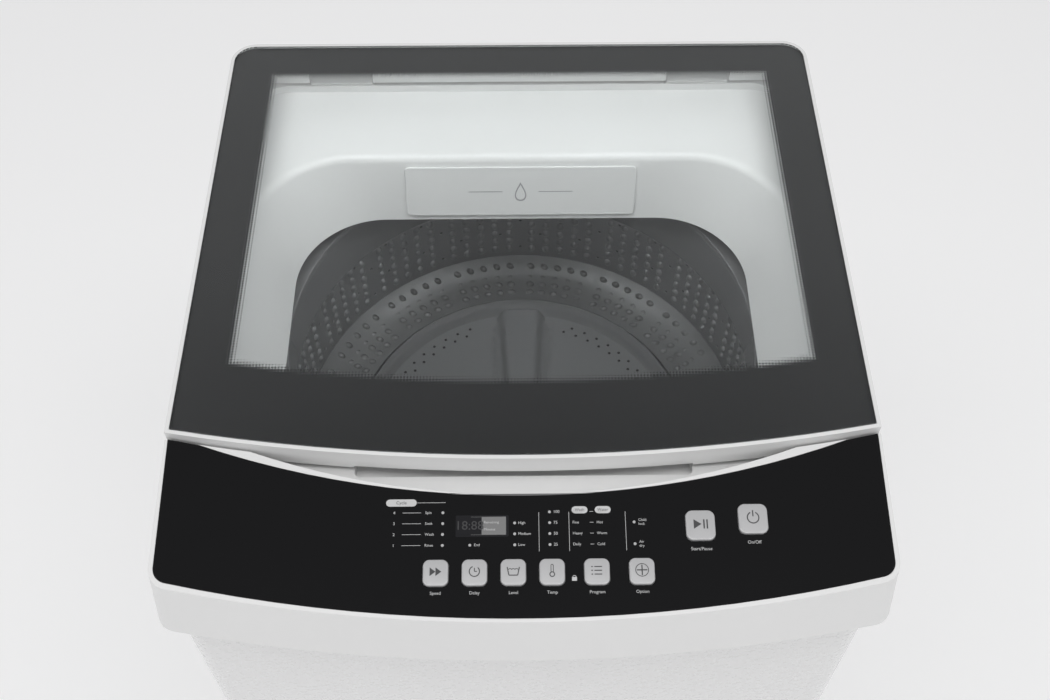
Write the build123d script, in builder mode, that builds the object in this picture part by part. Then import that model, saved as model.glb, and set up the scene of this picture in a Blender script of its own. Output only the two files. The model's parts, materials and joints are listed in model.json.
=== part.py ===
from build123d import *

import math
import os

# Top load washing machine, in millimetres.
# +Z is up, the origin is on the floor under the middle of the footprint, the front faces -Y.

# Overall size
WIDTH = 526.0  # across the lower edge of the top cover
DEPTH = 550.0  # from the bow of the cover to its back
HEIGHT = 900.0  # from the floor to the top of the closed lid

# Shared clearances and sheet thicknesses
GAP = 0.3  # between parts that lie side by side
RUNNING = 0.05  # radial clearance of shafts and pins that turn
STEEL = 1.0
PLASTIC = 3.0

# Top cover
SKIRT_DROP = 78.0  # height of the cover's skirt below the lid's top
SKIRT_FLARE = 6.0  # each side leans out this much towards the bottom
FRONT_LEAN = 13.0  # the front leans out this much towards the bottom
FRONT_BOW = 26.5  # the front bows this far ahead of its corners
COVER_CORNER = 16.0
BORDER_DROP = 23.0  # border under the lid's edge
DECK_DROP = 30.0  # deck around the loading well
LEDGE_DROP = 35.0  # ledge under the tail of the lid
UNDERSIDE_DROP = 38.0
WELL_DROP = 90.0  # lower edge of the loading well
WELL_HALF_WIDTH = 227.0
WELL_BACK = 162.0
WELL_FRONT = -118.0
WELL_SLOPE = 16.0  # the front and back of the well lean in by this much
WELL_RADIUS = 80.0

# Lid
LID_THICKNESS = 20.0
LID_LENGTH = 432.0
LID_BOW = 24.0
LID_CORNER = 21.0
LID_RIM = 3.0
GLASS_THICKNESS = 4.0
BOND_THICKNESS = 0.5
WINDOW_HALF_WIDTH = 226.0
WINDOW_BACK_MARGIN = 31.0
WINDOW_FRONT_MARGIN = 58.0
WINDOW_BOW = 20.0
HINGE_BACK = 13.0  # hinge axis to the back of the lid
HINGE_DROP = 14.0
HINGE_X = 160.0
HINGE_BLOCK_WIDTH = 55.0
HINGE_PIN_RADIUS = 3.0
KNUCKLE_WIDTH = 7.0

# Control panel
PANEL_TILT = 10.2  # degrees
PANEL_DROP = 6.0
PANEL_THICKNESS = 3.0
PANEL_RIM = 2.7
SCOOP_END = 22.0  # the finger scoop stops this far from the panel's sides
SCOOP_DEPTH = 42.0
KINK_DROP = 4.5
SLOT_HALF_WIDTH = 122.0
BUTTON_WIDTH = 17.5
BUTTON_LENGTH = 18.5
BUTTON_RADIUS = 4.5
LARGE_BUTTON_WIDTH = 20.5
LARGE_BUTTON_LENGTH = 21.5
LARGE_BUTTON_RADIUS = 5.0
BUTTON_PROUD = 2.5
BUTTON_TRAVEL = 1.2
BUTTON_CLEARANCE = 0.35
BUTTON_FLANGE = 1.2  # the flange under a cap is this much wider all round
DISPLAY_WIDTH = 37.0
DISPLAY_LENGTH = 15.6
DISPLAY_X = -29.3
LAMP_RADIUS = 1.0
LAMP_PITCH = 7.7
BOARD_DROP = 13.0
LENS_THICKNESS = 1.6
BOARD_THICKNESS = 1.6
BOARD_X = 42.0
BOARD_RISE = 52.0  # middle of the board above the panel's front
BOARD_WIDTH = 272.0
BOARD_LENGTH = 62.0
BOSS_INSET = 4.5
BOSS_RADIUS = 3.5
BAY_MARGIN = 6.0  # window in the cover around the board
BAY_TRIM = 2.0  # the window is this much tighter from front to back
TRAY_WALL = 2.5
SWITCH_SIZE = 6.0
STEM_RADIUS = 2.5

# Cabinet
CABINET_INSET = 8.0  # from the skirt's sides
CABINET_SETBACK = 8.0  # behind the corners of the skirt's front
CABINET_CORNER = 18.0
CABINET_DROP = 54.0
CABINET_FOOT = 30.0
FLANGE_WIDTH = 24.0
BASE_TOP = 62.0
FOOT_RADIUS = 22.0
FOOT_HEIGHT = 14.0
STUD_RADIUS = 5.0
FOOT_INSET = 42.0

# Tub, basket and pulsator
SIDE_ROOM = 30.0  # cabinet wall to tub
BACK_ROOM = 15.0
FRONT_ROOM = 47.5
TUB_COVER_DROP = 112.0
TUB_DROP = 115.0
TUB_FLOOR_DROP = 330.0
TUB_FLOOR = 6.0
TUB_COVER_LIP = 21.0  # inner edge of the tub cover, inside the tub wall
RING_CLEARANCE = 6.0
RING_WIDTH = 12.0
RING_TOP_DROP = 120.0
RING_BOTTOM_DROP = 173.0
BASKET_STEEL = 0.8
BASKET_FLOOR_DROP = 308.0
PULSATOR_MARGIN = 48.5
PULSATOR_RIM_DROP = 273.0
HOLES_ROUND = 32
HOLE_ROWS = 4
FIN_COUNT = 4

# Drive
SHAFT_RADIUS = 8.0
SPIN_TUBE_RADIUS = 13.0
CLUTCH_RADIUS = 58.0
CLUTCH_HEIGHT = 82.0
BRACKET_DROP = 344.0
PULLEY_DROP = 452.0
PULLEY_WIDTH = 16.0
PULLEY_RADIUS = 70.0
MOTOR_PULLEY_RADIUS = 28.0
MOTOR_OFFSET = 150.0
MOTOR_RADIUS = 56.0
MOTOR_HEIGHT = 84.0

# Suspension
ROD_RADIUS = 4.5
ROD_SPREAD = 54.0  # rods stand this far in from the cabinet's side walls
EAR_RISE = 22.0  # top of each tub ear above the tub's floor
EAR_THICKNESS = 10.0
SPRING_LENGTH = 110.0
SPRING_RADIUS = 15.0
SPRING_WIRE = 1.9
SPRING_TURNS = 7

# Water
SPIGOT_RADIUS = 13.2
SPIGOT_LENGTH = 17.0
INLET_X = (110.0, 149.0)
INLET_MARGIN = 14.0
INLET_DROP = 57.0
INLET_POCKET = 24.0
INLET_BOX_HALF = 96.0
DRAIN_X = -120.0
DRAIN_RADIUS = 15.0
DRAIN_Z = 110.0
DRAIN_RECESS = 32.0

# Derived sizes
LID_HALF = WIDTH / 2 - SKIRT_FLARE
BACK = DEPTH / 2
LID_FRONT = BACK - LID_LENGTH
SKIRT_Z = HEIGHT - SKIRT_DROP
DECK_Z = HEIGHT - DECK_DROP
BORDER_Z = HEIGHT - BORDER_DROP
UNDERSIDE_Z = HEIGHT - UNDERSIDE_DROP
WELL_Z = HEIGHT - WELL_DROP
HINGE_Y = BACK - HINGE_BACK
HINGE_Z = HEIGHT - HINGE_DROP

TILT = math.radians(PANEL_TILT)
PANEL_BACK_Y = LID_FRONT + LID_BOW - 2.2
PANEL_BACK_Z = HEIGHT - PANEL_DROP
PANEL_HALF = LID_HALF - 2.0
SCOOP_HALF = PANEL_HALF - SCOOP_END
PANEL = Plane((0, PANEL_BACK_Y, PANEL_BACK_Z), x_dir=(1, 0, 0), z_dir=(0, -math.sin(TILT), math.cos(TILT)))

CAB_HALF = WIDTH / 2 - CABINET_INSET
CAB_BACK = BACK - 4.0
CAB_FRONT = -BACK + FRONT_BOW + CABINET_SETBACK
CAB_TOP = HEIGHT - CABINET_DROP

TUB_OUTER = min(
    CAB_HALF - STEEL - SIDE_ROOM,
    (CAB_BACK - CAB_FRONT - BACK_ROOM - FRONT_ROOM) / 2 - STEEL + 0.5,
)
TUB_R = TUB_OUTER - PLASTIC
AXIS_Y = CAB_BACK - STEEL - BACK_ROOM - TUB_OUTER
TUB_FLOOR_Z = HEIGHT - TUB_FLOOR_DROP
RING_OUTER = TUB_R - RING_CLEARANCE
RING_INNER = RING_OUTER - RING_WIDTH
BASKET_R = RING_OUTER - RING_WIDTH / 2
RING_TOP = HEIGHT - RING_TOP_DROP
RING_BOTTOM = HEIGHT - RING_BOTTOM_DROP
GROOVE_TOP = RING_BOTTOM + 15.0
BASKET_FLOOR = HEIGHT - BASKET_FLOOR_DROP
PULSATOR_R = BASKET_R - PULSATOR_MARGIN
PULSATOR_RIM = HEIGHT - PULSATOR_RIM_DROP
PULSATOR_BOTTOM = BASKET_FLOOR + 8.0
BRACKET_Z = HEIGHT - BRACKET_DROP
PULLEY_Z = HEIGHT - PULLEY_DROP
CLUTCH_BOTTOM = BRACKET_Z - CLUTCH_HEIGHT
EAR_TOP = TUB_FLOOR_Z + EAR_RISE
EAR_BOTTOM = EAR_TOP - EAR_THICKNESS
ROD_X = CAB_HALF - STEEL - ROD_SPREAD
ROD_TOP = CAB_TOP + 4.0
ROD_BOTTOM = EAR_BOTTOM - SPRING_LENGTH - 24.0
ROD_SPOTS = [(sx * ROD_X, AXIS_Y + sy * ROD_X) for sx in (-1, 1) for sy in (-1, 1)]
FOOT_SPOTS = [
    (sx * (CAB_HALF - FOOT_INSET), y) for y in (CAB_FRONT + FOOT_INSET, CAB_BACK - FOOT_INSET) for sx in (-1, 1)
]
INLET_Z = HEIGHT - INLET_DROP

os.makedirs("parts", exist_ok=True)


def save(builder, name):
    """Label a finished piece and write it as one STEP file."""
    builder.part.label = name
    export_step(builder.part, f"parts/{name}.step")


def bowed_face(half_width, front, back, bow, back_radius):
    """Draw a plate outline with straight sides, a straight back and a front that bows forward."""
    with BuildLine() as outline:
        Polyline((-half_width, front + bow), (-half_width, back), (half_width, back), (half_width, front + bow))
        ThreePointArc((half_width, front + bow), (0, front), (-half_width, front + bow))
    face = make_face(outline.edges())
    if back_radius > 0:
        fillet(face.vertices().group_by(Axis.Y)[-1], back_radius)


def cover_size(z, inset=0.0):
    """Half width and front of the cover's outline at a height, drawn in by an inset."""
    share = (z - SKIRT_Z) / SKIRT_DROP
    return WIDTH / 2 - share * SKIRT_FLARE - inset, -BACK + share * FRONT_LEAN + inset


def cover_face(z, inset=0.0):
    """The cover's outline at a height."""
    half_width, front = cover_size(z, inset)
    with BuildLine() as outline:
        Polyline((-half_width, front + FRONT_BOW), (-half_width, BACK - inset), (half_width, BACK - inset),
                 (half_width, front + FRONT_BOW))
        ThreePointArc((half_width, front + FRONT_BOW), (0, front), (-half_width, front + FRONT_BOW))
    face = make_face(outline.edges())
    fillet(face.vertices(), COVER_CORNER - inset)


def rounded(half_width, front, back, radius):
    """Draw a rounded rectangle from its half width, front and back."""
    with Locations((0, (front + back) / 2)):
        RectangleRounded(2 * half_width, back - front, radius)


def panel_y(y):
    """Distance along the tilted panel for a distance along the machine."""
    return (y - PANEL_BACK_Y) / math.cos(TILT)


def fascia_face(inset=0.0):
    """The control panel's outline: a bowed front and a hollowed back that makes the finger scoop."""
    side = PANEL_HALF - inset
    back = -inset
    front = panel_y(PANEL_FRONT) + inset
    corner = front + FRONT_BOW + 2.0
    with BuildLine() as outline:
        Line((side, back), (SCOOP_HALF, back - KINK_DROP))
        ThreePointArc((SCOOP_HALF, back - KINK_DROP), (0, back - 2.5 - SCOOP_DEPTH),
                      (-SCOOP_HALF, back - KINK_DROP))
        Polyline((-SCOOP_HALF, back - KINK_DROP), (-side, back), (-side, corner))
        ThreePointArc((-side, corner), (0, front), (side, corner))
        Line((side, corner), (side, back))
    face = make_face(outline.edges())
    fillet(face.vertices().group_by(Axis.Y)[0], 11.0 - inset)


PANEL_FRONT = cover_size(HEIGHT - 29.0)[1] + PANEL_RIM
SMALL_ROW = PANEL_FRONT + 30.7
LAMP_ROW = PANEL_FRONT + 50.2
DISPLAY_ROW = PANEL_FRONT + 63.6
FIRST_BUTTONS = [-61.0 + 26.6 * step for step in range(4)]
LAST_BUTTONS = [49.5, 80.3]
BUTTONS = {
    "button_speed": (FIRST_BUTTONS[0], SMALL_ROW),
    "button_delay": (FIRST_BUTTONS[1], SMALL_ROW),
    "button_level": (FIRST_BUTTONS[2], SMALL_ROW),
    "button_temperature": (FIRST_BUTTONS[3], SMALL_ROW),
    "button_programme": (LAST_BUTTONS[0], SMALL_ROW),
    "button_option": (LAST_BUTTONS[1], SMALL_ROW),
    "button_start": (122.5, PANEL_FRONT + 62.3),
    "button_power": (159.4, PANEL_FRONT + 66.6),
}
LARGE_BUTTONS = ("button_start", "button_power")
PANEL_AXIS = Axis(PANEL.origin, PANEL.z_dir)
LAMPS = (
    [(-56.8, row) for row in range(4)] + [(17.7, row) for row in range(4)]
    + [(-6.7, row) for row in range(3)] + [(-37.8, 0), (76.6, 0), (76.6, 2)]
)


BOARD_SPOT = (BOARD_X, panel_y(PANEL_FRONT + BOARD_RISE))


def bay_face(margin, mode=Mode.ADD):
    """Rounded outline around the circuit board."""
    RectangleRounded(BOARD_WIDTH + 2 * margin, BOARD_LENGTH + 2 * margin - BAY_TRIM, margin + 2.0, mode=mode)


def button_size(name):
    """Width, length and corner radius of a button's cap."""
    if name in LARGE_BUTTONS:
        return LARGE_BUTTON_WIDTH, LARGE_BUTTON_LENGTH, LARGE_BUTTON_RADIUS
    return BUTTON_WIDTH, BUTTON_LENGTH, BUTTON_RADIUS


# ---------------------------------------------------------------- top cover
POCKET_LEFT = INLET_X[0] - SPIGOT_RADIUS - INLET_MARGIN
POCKET_RIGHT = INLET_X[1] + SPIGOT_RADIUS + INLET_MARGIN
POCKET_MIDDLE = (POCKET_LEFT + POCKET_RIGHT) / 2
POCKET_WIDTH = POCKET_RIGHT - POCKET_LEFT

with BuildPart() as top_cover:
    # outer skin, wider at the bottom and open underneath
    for level in (SKIRT_Z, HEIGHT):
        with BuildSketch(Plane.XY.offset(level)):
            cover_face(level)
    loft(ruled=True)
    split(bisect_by=PANEL, keep=Keep.BOTTOM)
    for level in (SKIRT_Z, UNDERSIDE_Z):
        with BuildSketch(Plane.XY.offset(level)):
            cover_face(level, PLASTIC)
    loft(ruled=True, mode=Mode.SUBTRACT)
    # bay for the lid, with a lower deck inside it and a ledge for the lid's tail
    with BuildSketch(Plane.XY.offset(BORDER_Z)):
        bowed_face(WIDTH, LID_FRONT - 1.5, DEPTH, LID_BOW * (WIDTH / LID_HALF) ** 2, 0)
    extrude(amount=SKIRT_DROP, mode=Mode.SUBTRACT)
    with BuildSketch(Plane.XY.offset(DECK_Z)):
        rounded(LID_HALF - 19, LID_FRONT + LID_BOW + 8, BACK - 32, 30)
    extrude(amount=SKIRT_DROP, mode=Mode.SUBTRACT)
    with BuildSketch(Plane.XY.offset(HEIGHT - LEDGE_DROP)):
        with Locations((0, BACK)):
            Rectangle(2 * WIDTH, 60)
    extrude(amount=SKIRT_DROP, mode=Mode.SUBTRACT)
    # finger scoop between the lid and the panel, and the slot that reaches under the lid
    scoop_floor = Plane((0, LID_FRONT, BORDER_Z), x_dir=(1, 0, 0), z_dir=(0, 0.33, 0.944))
    with BuildSketch(scoop_floor):
        with BuildLine():
            scoop_back = LID_BOW + 12
            scoop_front = LID_BOW - 5
            Polyline((SCOOP_HALF, scoop_front), (SCOOP_HALF, scoop_back), (-SCOOP_HALF, scoop_back),
                     (-SCOOP_HALF, scoop_front))
            ThreePointArc((-SCOOP_HALF, scoop_front), (0, scoop_front - SCOOP_DEPTH),
                          (SCOOP_HALF, scoop_front))
        make_face()
    extrude(amount=30, mode=Mode.SUBTRACT)
    with BuildSketch(Plane.XY.offset(BORDER_Z - 11)):
        with Locations((0, LID_FRONT + 17)):
            RectangleRounded(2 * SLOT_HALF_WIDTH, 38, 6)
    extrude(amount=11.5, mode=Mode.SUBTRACT)
    # seat and window of the control panel
    with BuildSketch(PANEL):
        fascia_face(-GAP)
    extrude(amount=-PANEL_THICKNESS, mode=Mode.SUBTRACT)
    with BuildSketch(PANEL):
        with Locations(BOARD_SPOT):
            bay_face(BAY_MARGIN)
    extrude(amount=-HEIGHT / 10, mode=Mode.SUBTRACT)
    # funnel of the loading well
    with BuildSketch(Plane.XY.offset(DECK_Z - 2)):
        rounded(WELL_HALF_WIDTH + PLASTIC, WELL_FRONT - PLASTIC, WELL_BACK + PLASTIC, WELL_RADIUS + PLASTIC)
    with BuildSketch(Plane.XY.offset(WELL_Z - 4)):
        rounded(RING_INNER - 7.5 + PLASTIC, WELL_FRONT + WELL_SLOPE - PLASTIC, WELL_BACK - WELL_SLOPE + PLASTIC,
                WELL_RADIUS - 5 + PLASTIC)
    loft(ruled=True)
    with BuildSketch(Plane.XY.offset(DECK_Z + 1)):
        rounded(WELL_HALF_WIDTH, WELL_FRONT, WELL_BACK, WELL_RADIUS)
    with BuildSketch(Plane.XY.offset(WELL_Z - 5)):
        rounded(RING_INNER - 7.5, WELL_FRONT + WELL_SLOPE, WELL_BACK - WELL_SLOPE, WELL_RADIUS - 5)
    loft(ruled=True, mode=Mode.SUBTRACT)
    # inner ledge that stands on the cabinet's top edge
    with BuildSketch(Plane.XY.offset(CAB_TOP)):
        cover_face(CAB_TOP, 1.0)
        with Locations((0, (CAB_FRONT + CAB_BACK) / 2)):
            RectangleRounded(2 * CAB_HALF - 16, CAB_BACK - CAB_FRONT - 16, CABINET_CORNER - 8,
                             mode=Mode.SUBTRACT)
    extrude(amount=PLASTIC)
    # recess at the back for the two water inlets
    with BuildSketch(Plane.XY.offset(SKIRT_Z)):
        with Locations((POCKET_MIDDLE, BACK - (INLET_POCKET + PLASTIC) / 2 - 1)):
            Rectangle(POCKET_WIDTH + 2 * PLASTIC, INLET_POCKET + PLASTIC - 2)
    extrude(amount=UNDERSIDE_Z - SKIRT_Z + 1)
    with BuildSketch(Plane.XY.offset(SKIRT_Z + PLASTIC)):
        with Locations((POCKET_MIDDLE, BACK)):
            Rectangle(POCKET_WIDTH, 2 * INLET_POCKET)
    extrude(amount=UNDERSIDE_Z - SKIRT_Z - PLASTIC, mode=Mode.SUBTRACT)
    with BuildSketch(Plane.XZ.offset(-(BACK - INLET_POCKET - 8))):
        for x in INLET_X:
            with Locations((x, INLET_Z)):
                Circle(SPIGOT_RADIUS + GAP)
    extrude(amount=-12, mode=Mode.SUBTRACT)
    # opening in the well's back wall for the inlet box
    with BuildSketch(Plane.XZ.offset(-(WELL_BACK - 20))):
        with Locations((0, WELL_Z + 32)):
            Rectangle(2 * INLET_BOX_HALF, 32)
    extrude(amount=-30, mode=Mode.SUBTRACT)
save(top_cover, "top_cover")

# ---------------------------------------------------------------- control panel
with BuildPart() as control_fascia:
    with BuildSketch(PANEL):
        fascia_face()
    extrude(amount=-PANEL_THICKNESS)
    with BuildSketch(PANEL):
        for name, (x, y) in BUTTONS.items():
            width, length, radius = button_size(name)
            with Locations((x, panel_y(y))):
                RectangleRounded(width + 2 * BUTTON_CLEARANCE, length + 2 * BUTTON_CLEARANCE,
                                 radius + BUTTON_CLEARANCE)
        for x, row in LAMPS:
            with Locations((x, panel_y(LAMP_ROW + row * LAMP_PITCH))):
                Circle(LAMP_RADIUS)
        with Locations((DISPLAY_X, panel_y(DISPLAY_ROW))):
            RectangleRounded(DISPLAY_WIDTH, DISPLAY_LENGTH, 1.0)
    extrude(amount=-PANEL_THICKNESS, mode=Mode.SUBTRACT)
    # bosses that carry the circuit board
    with BuildSketch(PANEL.offset(-PANEL_THICKNESS)):
        with Locations(BOARD_SPOT):
            with GridLocations(BOARD_WIDTH - 2 * BOSS_INSET, BOARD_LENGTH - 2 * BOSS_INSET, 2, 2):
                Circle(BOSS_RADIUS)
    extrude(amount=-(BOARD_DROP - PANEL_THICKNESS))
save(control_fascia, "control_fascia")

with BuildPart() as display_lens:
    with BuildSketch(PANEL):
        with Locations((DISPLAY_X, panel_y(DISPLAY_ROW))):
            RectangleRounded(DISPLAY_WIDTH - 0.1, DISPLAY_LENGTH - 0.1, 0.95)
    extrude(amount=-LENS_THICKNESS)
save(display_lens, "display_lens")

with BuildPart() as lamp_guides:
    with BuildSketch(PANEL):
        for x, row in LAMPS:
            with Locations((x, panel_y(LAMP_ROW + row * LAMP_PITCH))):
                Circle(LAMP_RADIUS)
    extrude(amount=-BOARD_DROP)
save(lamp_guides, "lamp_guides")

with BuildPart() as control_board:
    with BuildSketch(PANEL.offset(-BOARD_DROP)):
        with Locations(BOARD_SPOT):
            Rectangle(BOARD_WIDTH, BOARD_LENGTH)
    extrude(amount=-BOARD_THICKNESS)
save(control_board, "control_board")

SWITCH_HEIGHT = 3.0
with BuildPart() as board_parts:
    # display module under its lens
    with BuildSketch(PANEL.offset(-LENS_THICKNESS)):
        with Locations((DISPLAY_X, panel_y(DISPLAY_ROW))):
            Rectangle(DISPLAY_WIDTH - 2, DISPLAY_LENGTH - 2)
    extrude(amount=-(BOARD_DROP - LENS_THICKNESS))
    # one push switch under each button
    with BuildSketch(PANEL.offset(-BOARD_DROP)):
        for x, y in BUTTONS.values():
            with Locations((x, panel_y(y))):
                Rectangle(SWITCH_SIZE, SWITCH_SIZE)
    extrude(amount=SWITCH_HEIGHT)
save(board_parts, "board_parts")

FLANGE_THICKNESS = 1.0
for name, (x, y) in BUTTONS.items():
    width, length, radius = button_size(name)
    with BuildPart() as button:
        # cap, with a wider flange that keeps it under the panel
        with BuildSketch(PANEL.offset(-PANEL_THICKNESS - GAP)):
            with Locations((x, panel_y(y))):
                RectangleRounded(width, length, radius)
        extrude(amount=PANEL_THICKNESS + GAP + BUTTON_PROUD)
        fillet(button.faces().sort_by(PANEL_AXIS)[-1].edges(), 1.0)
        with BuildSketch(PANEL.offset(-PANEL_THICKNESS - GAP)):
            with Locations((x, panel_y(y))):
                RectangleRounded(width + 2 * BUTTON_FLANGE, length + 2 * BUTTON_FLANGE, radius + BUTTON_FLANGE)
        extrude(amount=-FLANGE_THICKNESS)
        # stem over the switch
        with BuildSketch(PANEL.offset(-PANEL_THICKNESS - GAP - FLANGE_THICKNESS)):
            with Locations((x, panel_y(y))):
                Circle(STEM_RADIUS)
        stem = BOARD_DROP - SWITCH_HEIGHT - BUTTON_TRAVEL - PANEL_THICKNESS - GAP - FLANGE_THICKNESS - 0.1
        extrude(amount=-stem)
    save(button, name)

TRAY_DEPTH = 17.0
TRAY_FLOOR = 2.0
with BuildPart() as control_tray:
    # tray under the board, fixed to the underside of the cover's panel seat
    with BuildSketch(PANEL.offset(-PANEL_THICKNESS)):
        with Locations(BOARD_SPOT):
            bay_face(BAY_MARGIN - GAP)
            bay_face(BAY_MARGIN - GAP - TRAY_WALL, Mode.SUBTRACT)
    extrude(amount=-TRAY_DEPTH)
    with BuildSketch(PANEL.offset(-PANEL_THICKNESS - TRAY_DEPTH)):
        with Locations(BOARD_SPOT):
            bay_face(BAY_MARGIN - GAP)
    extrude(amount=-TRAY_FLOOR)
save(control_tray, "control_tray")

# ---------------------------------------------------------------- lid
LID_BOTTOM = HEIGHT - LID_THICKNESS
GLASS_BOTTOM = HEIGHT - GLASS_THICKNESS
SEAT_Z = GLASS_BOTTOM - BOND_THICKNESS
WINDOW_FRONT = LID_FRONT + WINDOW_FRONT_MARGIN
WINDOW_BACK = BACK - WINDOW_BACK_MARGIN
HINGE_SIDES = (-HINGE_X, HINGE_X)
PIN_LENGTH = HINGE_BLOCK_WIDTH + 2 + 2 * KNUCKLE_WIDTH


def glass_face():
    """Outline of the lid's glass, inside the frame's thin rim."""
    bowed_face(LID_HALF - LID_RIM, LID_FRONT + LID_RIM, BACK - LID_RIM, LID_BOW - 0.5, LID_CORNER - LID_RIM)


def window_face(margin=0.0):
    """Outline of the see-through area."""
    bowed_face(WINDOW_HALF_WIDTH + margin, WINDOW_FRONT - margin, WINDOW_BACK + margin, WINDOW_BOW, 6)


with BuildPart() as lid_frame:
    with BuildSketch(Plane.XY.offset(LID_BOTTOM)):
        bowed_face(LID_HALF, LID_FRONT, BACK, LID_BOW, LID_CORNER)
    extrude(amount=LID_THICKNESS)
    with BuildSketch(Plane.XY.offset(SEAT_Z)):
        glass_face()
    extrude(amount=LID_THICKNESS, mode=Mode.SUBTRACT)
    # hollow underside behind a five millimetre skirt
    with BuildSketch(Plane.XY.offset(LID_BOTTOM)):
        bowed_face(LID_HALF - 5, LID_FRONT + 5, BACK - 5, LID_BOW, LID_CORNER - 5)
    extrude(amount=SEAT_Z - LID_BOTTOM - PLASTIC, mode=Mode.SUBTRACT)
    # wall around the window, then the window itself
    with BuildSketch(Plane.XY.offset(LID_BOTTOM)):
        window_face(4)
    extrude(amount=SEAT_Z - LID_BOTTOM)
    with BuildSketch(Plane.XY.offset(LID_BOTTOM)):
        window_face()
    extrude(amount=LID_THICKNESS, mode=Mode.SUBTRACT)
    # room for fingers under the front edge
    with Locations((0, LID_FRONT, LID_BOTTOM)):
        Box(2 * SLOT_HALF_WIDTH, 40, 4, mode=Mode.SUBTRACT)
    for side in HINGE_SIDES:
        # knuckles at the ends of each hinge block, and the slot that clears the block
        with Locations((side, HINGE_Y, LID_BOTTOM + 7.5)):
            Box(PIN_LENGTH, 18, 15)
        with Locations((side, HINGE_Y, LID_BOTTOM + 7)):
            Box(HINGE_BLOCK_WIDTH + 2, 46, 14, mode=Mode.SUBTRACT)
        with Locations(Location((side, HINGE_Y, HINGE_Z), (0, 90, 0))):
            Cylinder(HINGE_PIN_RADIUS, PIN_LENGTH, mode=Mode.SUBTRACT)
save(lid_frame, "lid_frame")

with BuildPart() as lid_glass:
    with BuildSketch(Plane.XY.offset(GLASS_BOTTOM)):
        glass_face()
    extrude(amount=GLASS_THICKNESS)
save(lid_glass, "lid_glass")

with BuildPart() as glass_bond:
    with BuildSketch(Plane.XY.offset(SEAT_Z)):
        bowed_face(LID_HALF - LID_RIM - 6, LID_FRONT + LID_RIM + 6, BACK - LID_RIM - 6, LID_BOW - 0.5, 12)
        with BuildSketch(mode=Mode.SUBTRACT):
            window_face(2)
    extrude(amount=BOND_THICKNESS)
save(glass_bond, "glass_bond")

with BuildPart() as hinge_pins:
    for side in HINGE_SIDES:
        with Locations(Location((side, HINGE_Y, HINGE_Z), (0, 90, 0))):
            Cylinder(HINGE_PIN_RADIUS, PIN_LENGTH)
save(hinge_pins, "hinge_pins")

LEDGE_Z = HEIGHT - LEDGE_DROP
with BuildPart() as hinge_blocks:
    for side in HINGE_SIDES:
        # foot on the ledge and a rounded barrel around the pin
        with BuildSketch(Plane.YZ.offset(side - HINGE_BLOCK_WIDTH / 2)):
            with BuildLine():
                Polyline((HINGE_Y + 5.5, HINGE_Z), (HINGE_Y + 5.5, LEDGE_Z), (BACK - 29.8, LEDGE_Z),
                         (BACK - 29.8, HINGE_Z - 8), (HINGE_Y - 5.5, HINGE_Z))
                ThreePointArc((HINGE_Y - 5.5, HINGE_Z), (HINGE_Y, HINGE_Z + 5.5), (HINGE_Y + 5.5, HINGE_Z))
            make_face()
            with Locations((HINGE_Y, HINGE_Z)):
                Circle(HINGE_PIN_RADIUS + RUNNING, mode=Mode.SUBTRACT)
        extrude(amount=HINGE_BLOCK_WIDTH)
save(hinge_blocks, "hinge_blocks")

with BuildPart() as lid_bumpers:
    for x in (-(LID_HALF - 7), LID_HALF - 7):
        for y in (LID_FRONT + LID_BOW + 16, WELL_BACK):
            with Locations((x, y, BORDER_Z)):
                Cylinder(3.0, BORDER_DROP - LID_THICKNESS - GAP, align=(Align.CENTER, Align.CENTER, Align.MIN))
save(lid_bumpers, "lid_bumpers")

MAGNET_X = LID_HALF - 18
with BuildPart() as lid_magnet:
    with Locations((MAGNET_X, LID_FRONT + LID_BOW + 24, SEAT_Z - PLASTIC - 4)):
        Box(12, 24, 4, align=(Align.CENTER, Align.CENTER, Align.MIN))
save(lid_magnet, "lid_magnet")

with BuildPart() as lid_switch:
    with Locations((MAGNET_X, LID_FRONT + LID_BOW + 24, UNDERSIDE_Z - 9)):
        Box(14, 30, 9, align=(Align.CENTER, Align.CENTER, Align.MIN))
save(lid_switch, "lid_switch")

# ---------------------------------------------------------------- water inlet
COVER_PLATE_HALF = INLET_BOX_HALF + 5.5
COVER_PLATE_TOP = 10.0  # below the deck, along the wall
COVER_PLATE_HEIGHT = 50.0
COVER_PLATE_THICKNESS = 1.6
WALL_TILT = math.atan(WELL_SLOPE / (WELL_DROP - DECK_DROP))
WALL = Plane((0, WELL_BACK, DECK_Z), x_dir=(1, 0, 0), z_dir=(0, -math.cos(WALL_TILT), math.sin(WALL_TILT)))
with BuildPart() as inlet_box_cover:
    # faceplate that lies on the sloping back wall of the well
    with BuildSketch(WALL.offset(GAP)):
        with Locations((0, -COVER_PLATE_TOP - COVER_PLATE_HEIGHT / 2)):
            Rectangle(2 * COVER_PLATE_HALF, COVER_PLATE_HEIGHT)
    extrude(amount=COVER_PLATE_THICKNESS)
    fillet(inlet_box_cover.edges().filter_by(Axis((0, 0, 0), WALL.z_dir)), 4)
save(inlet_box_cover, "inlet_box_cover")

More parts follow.
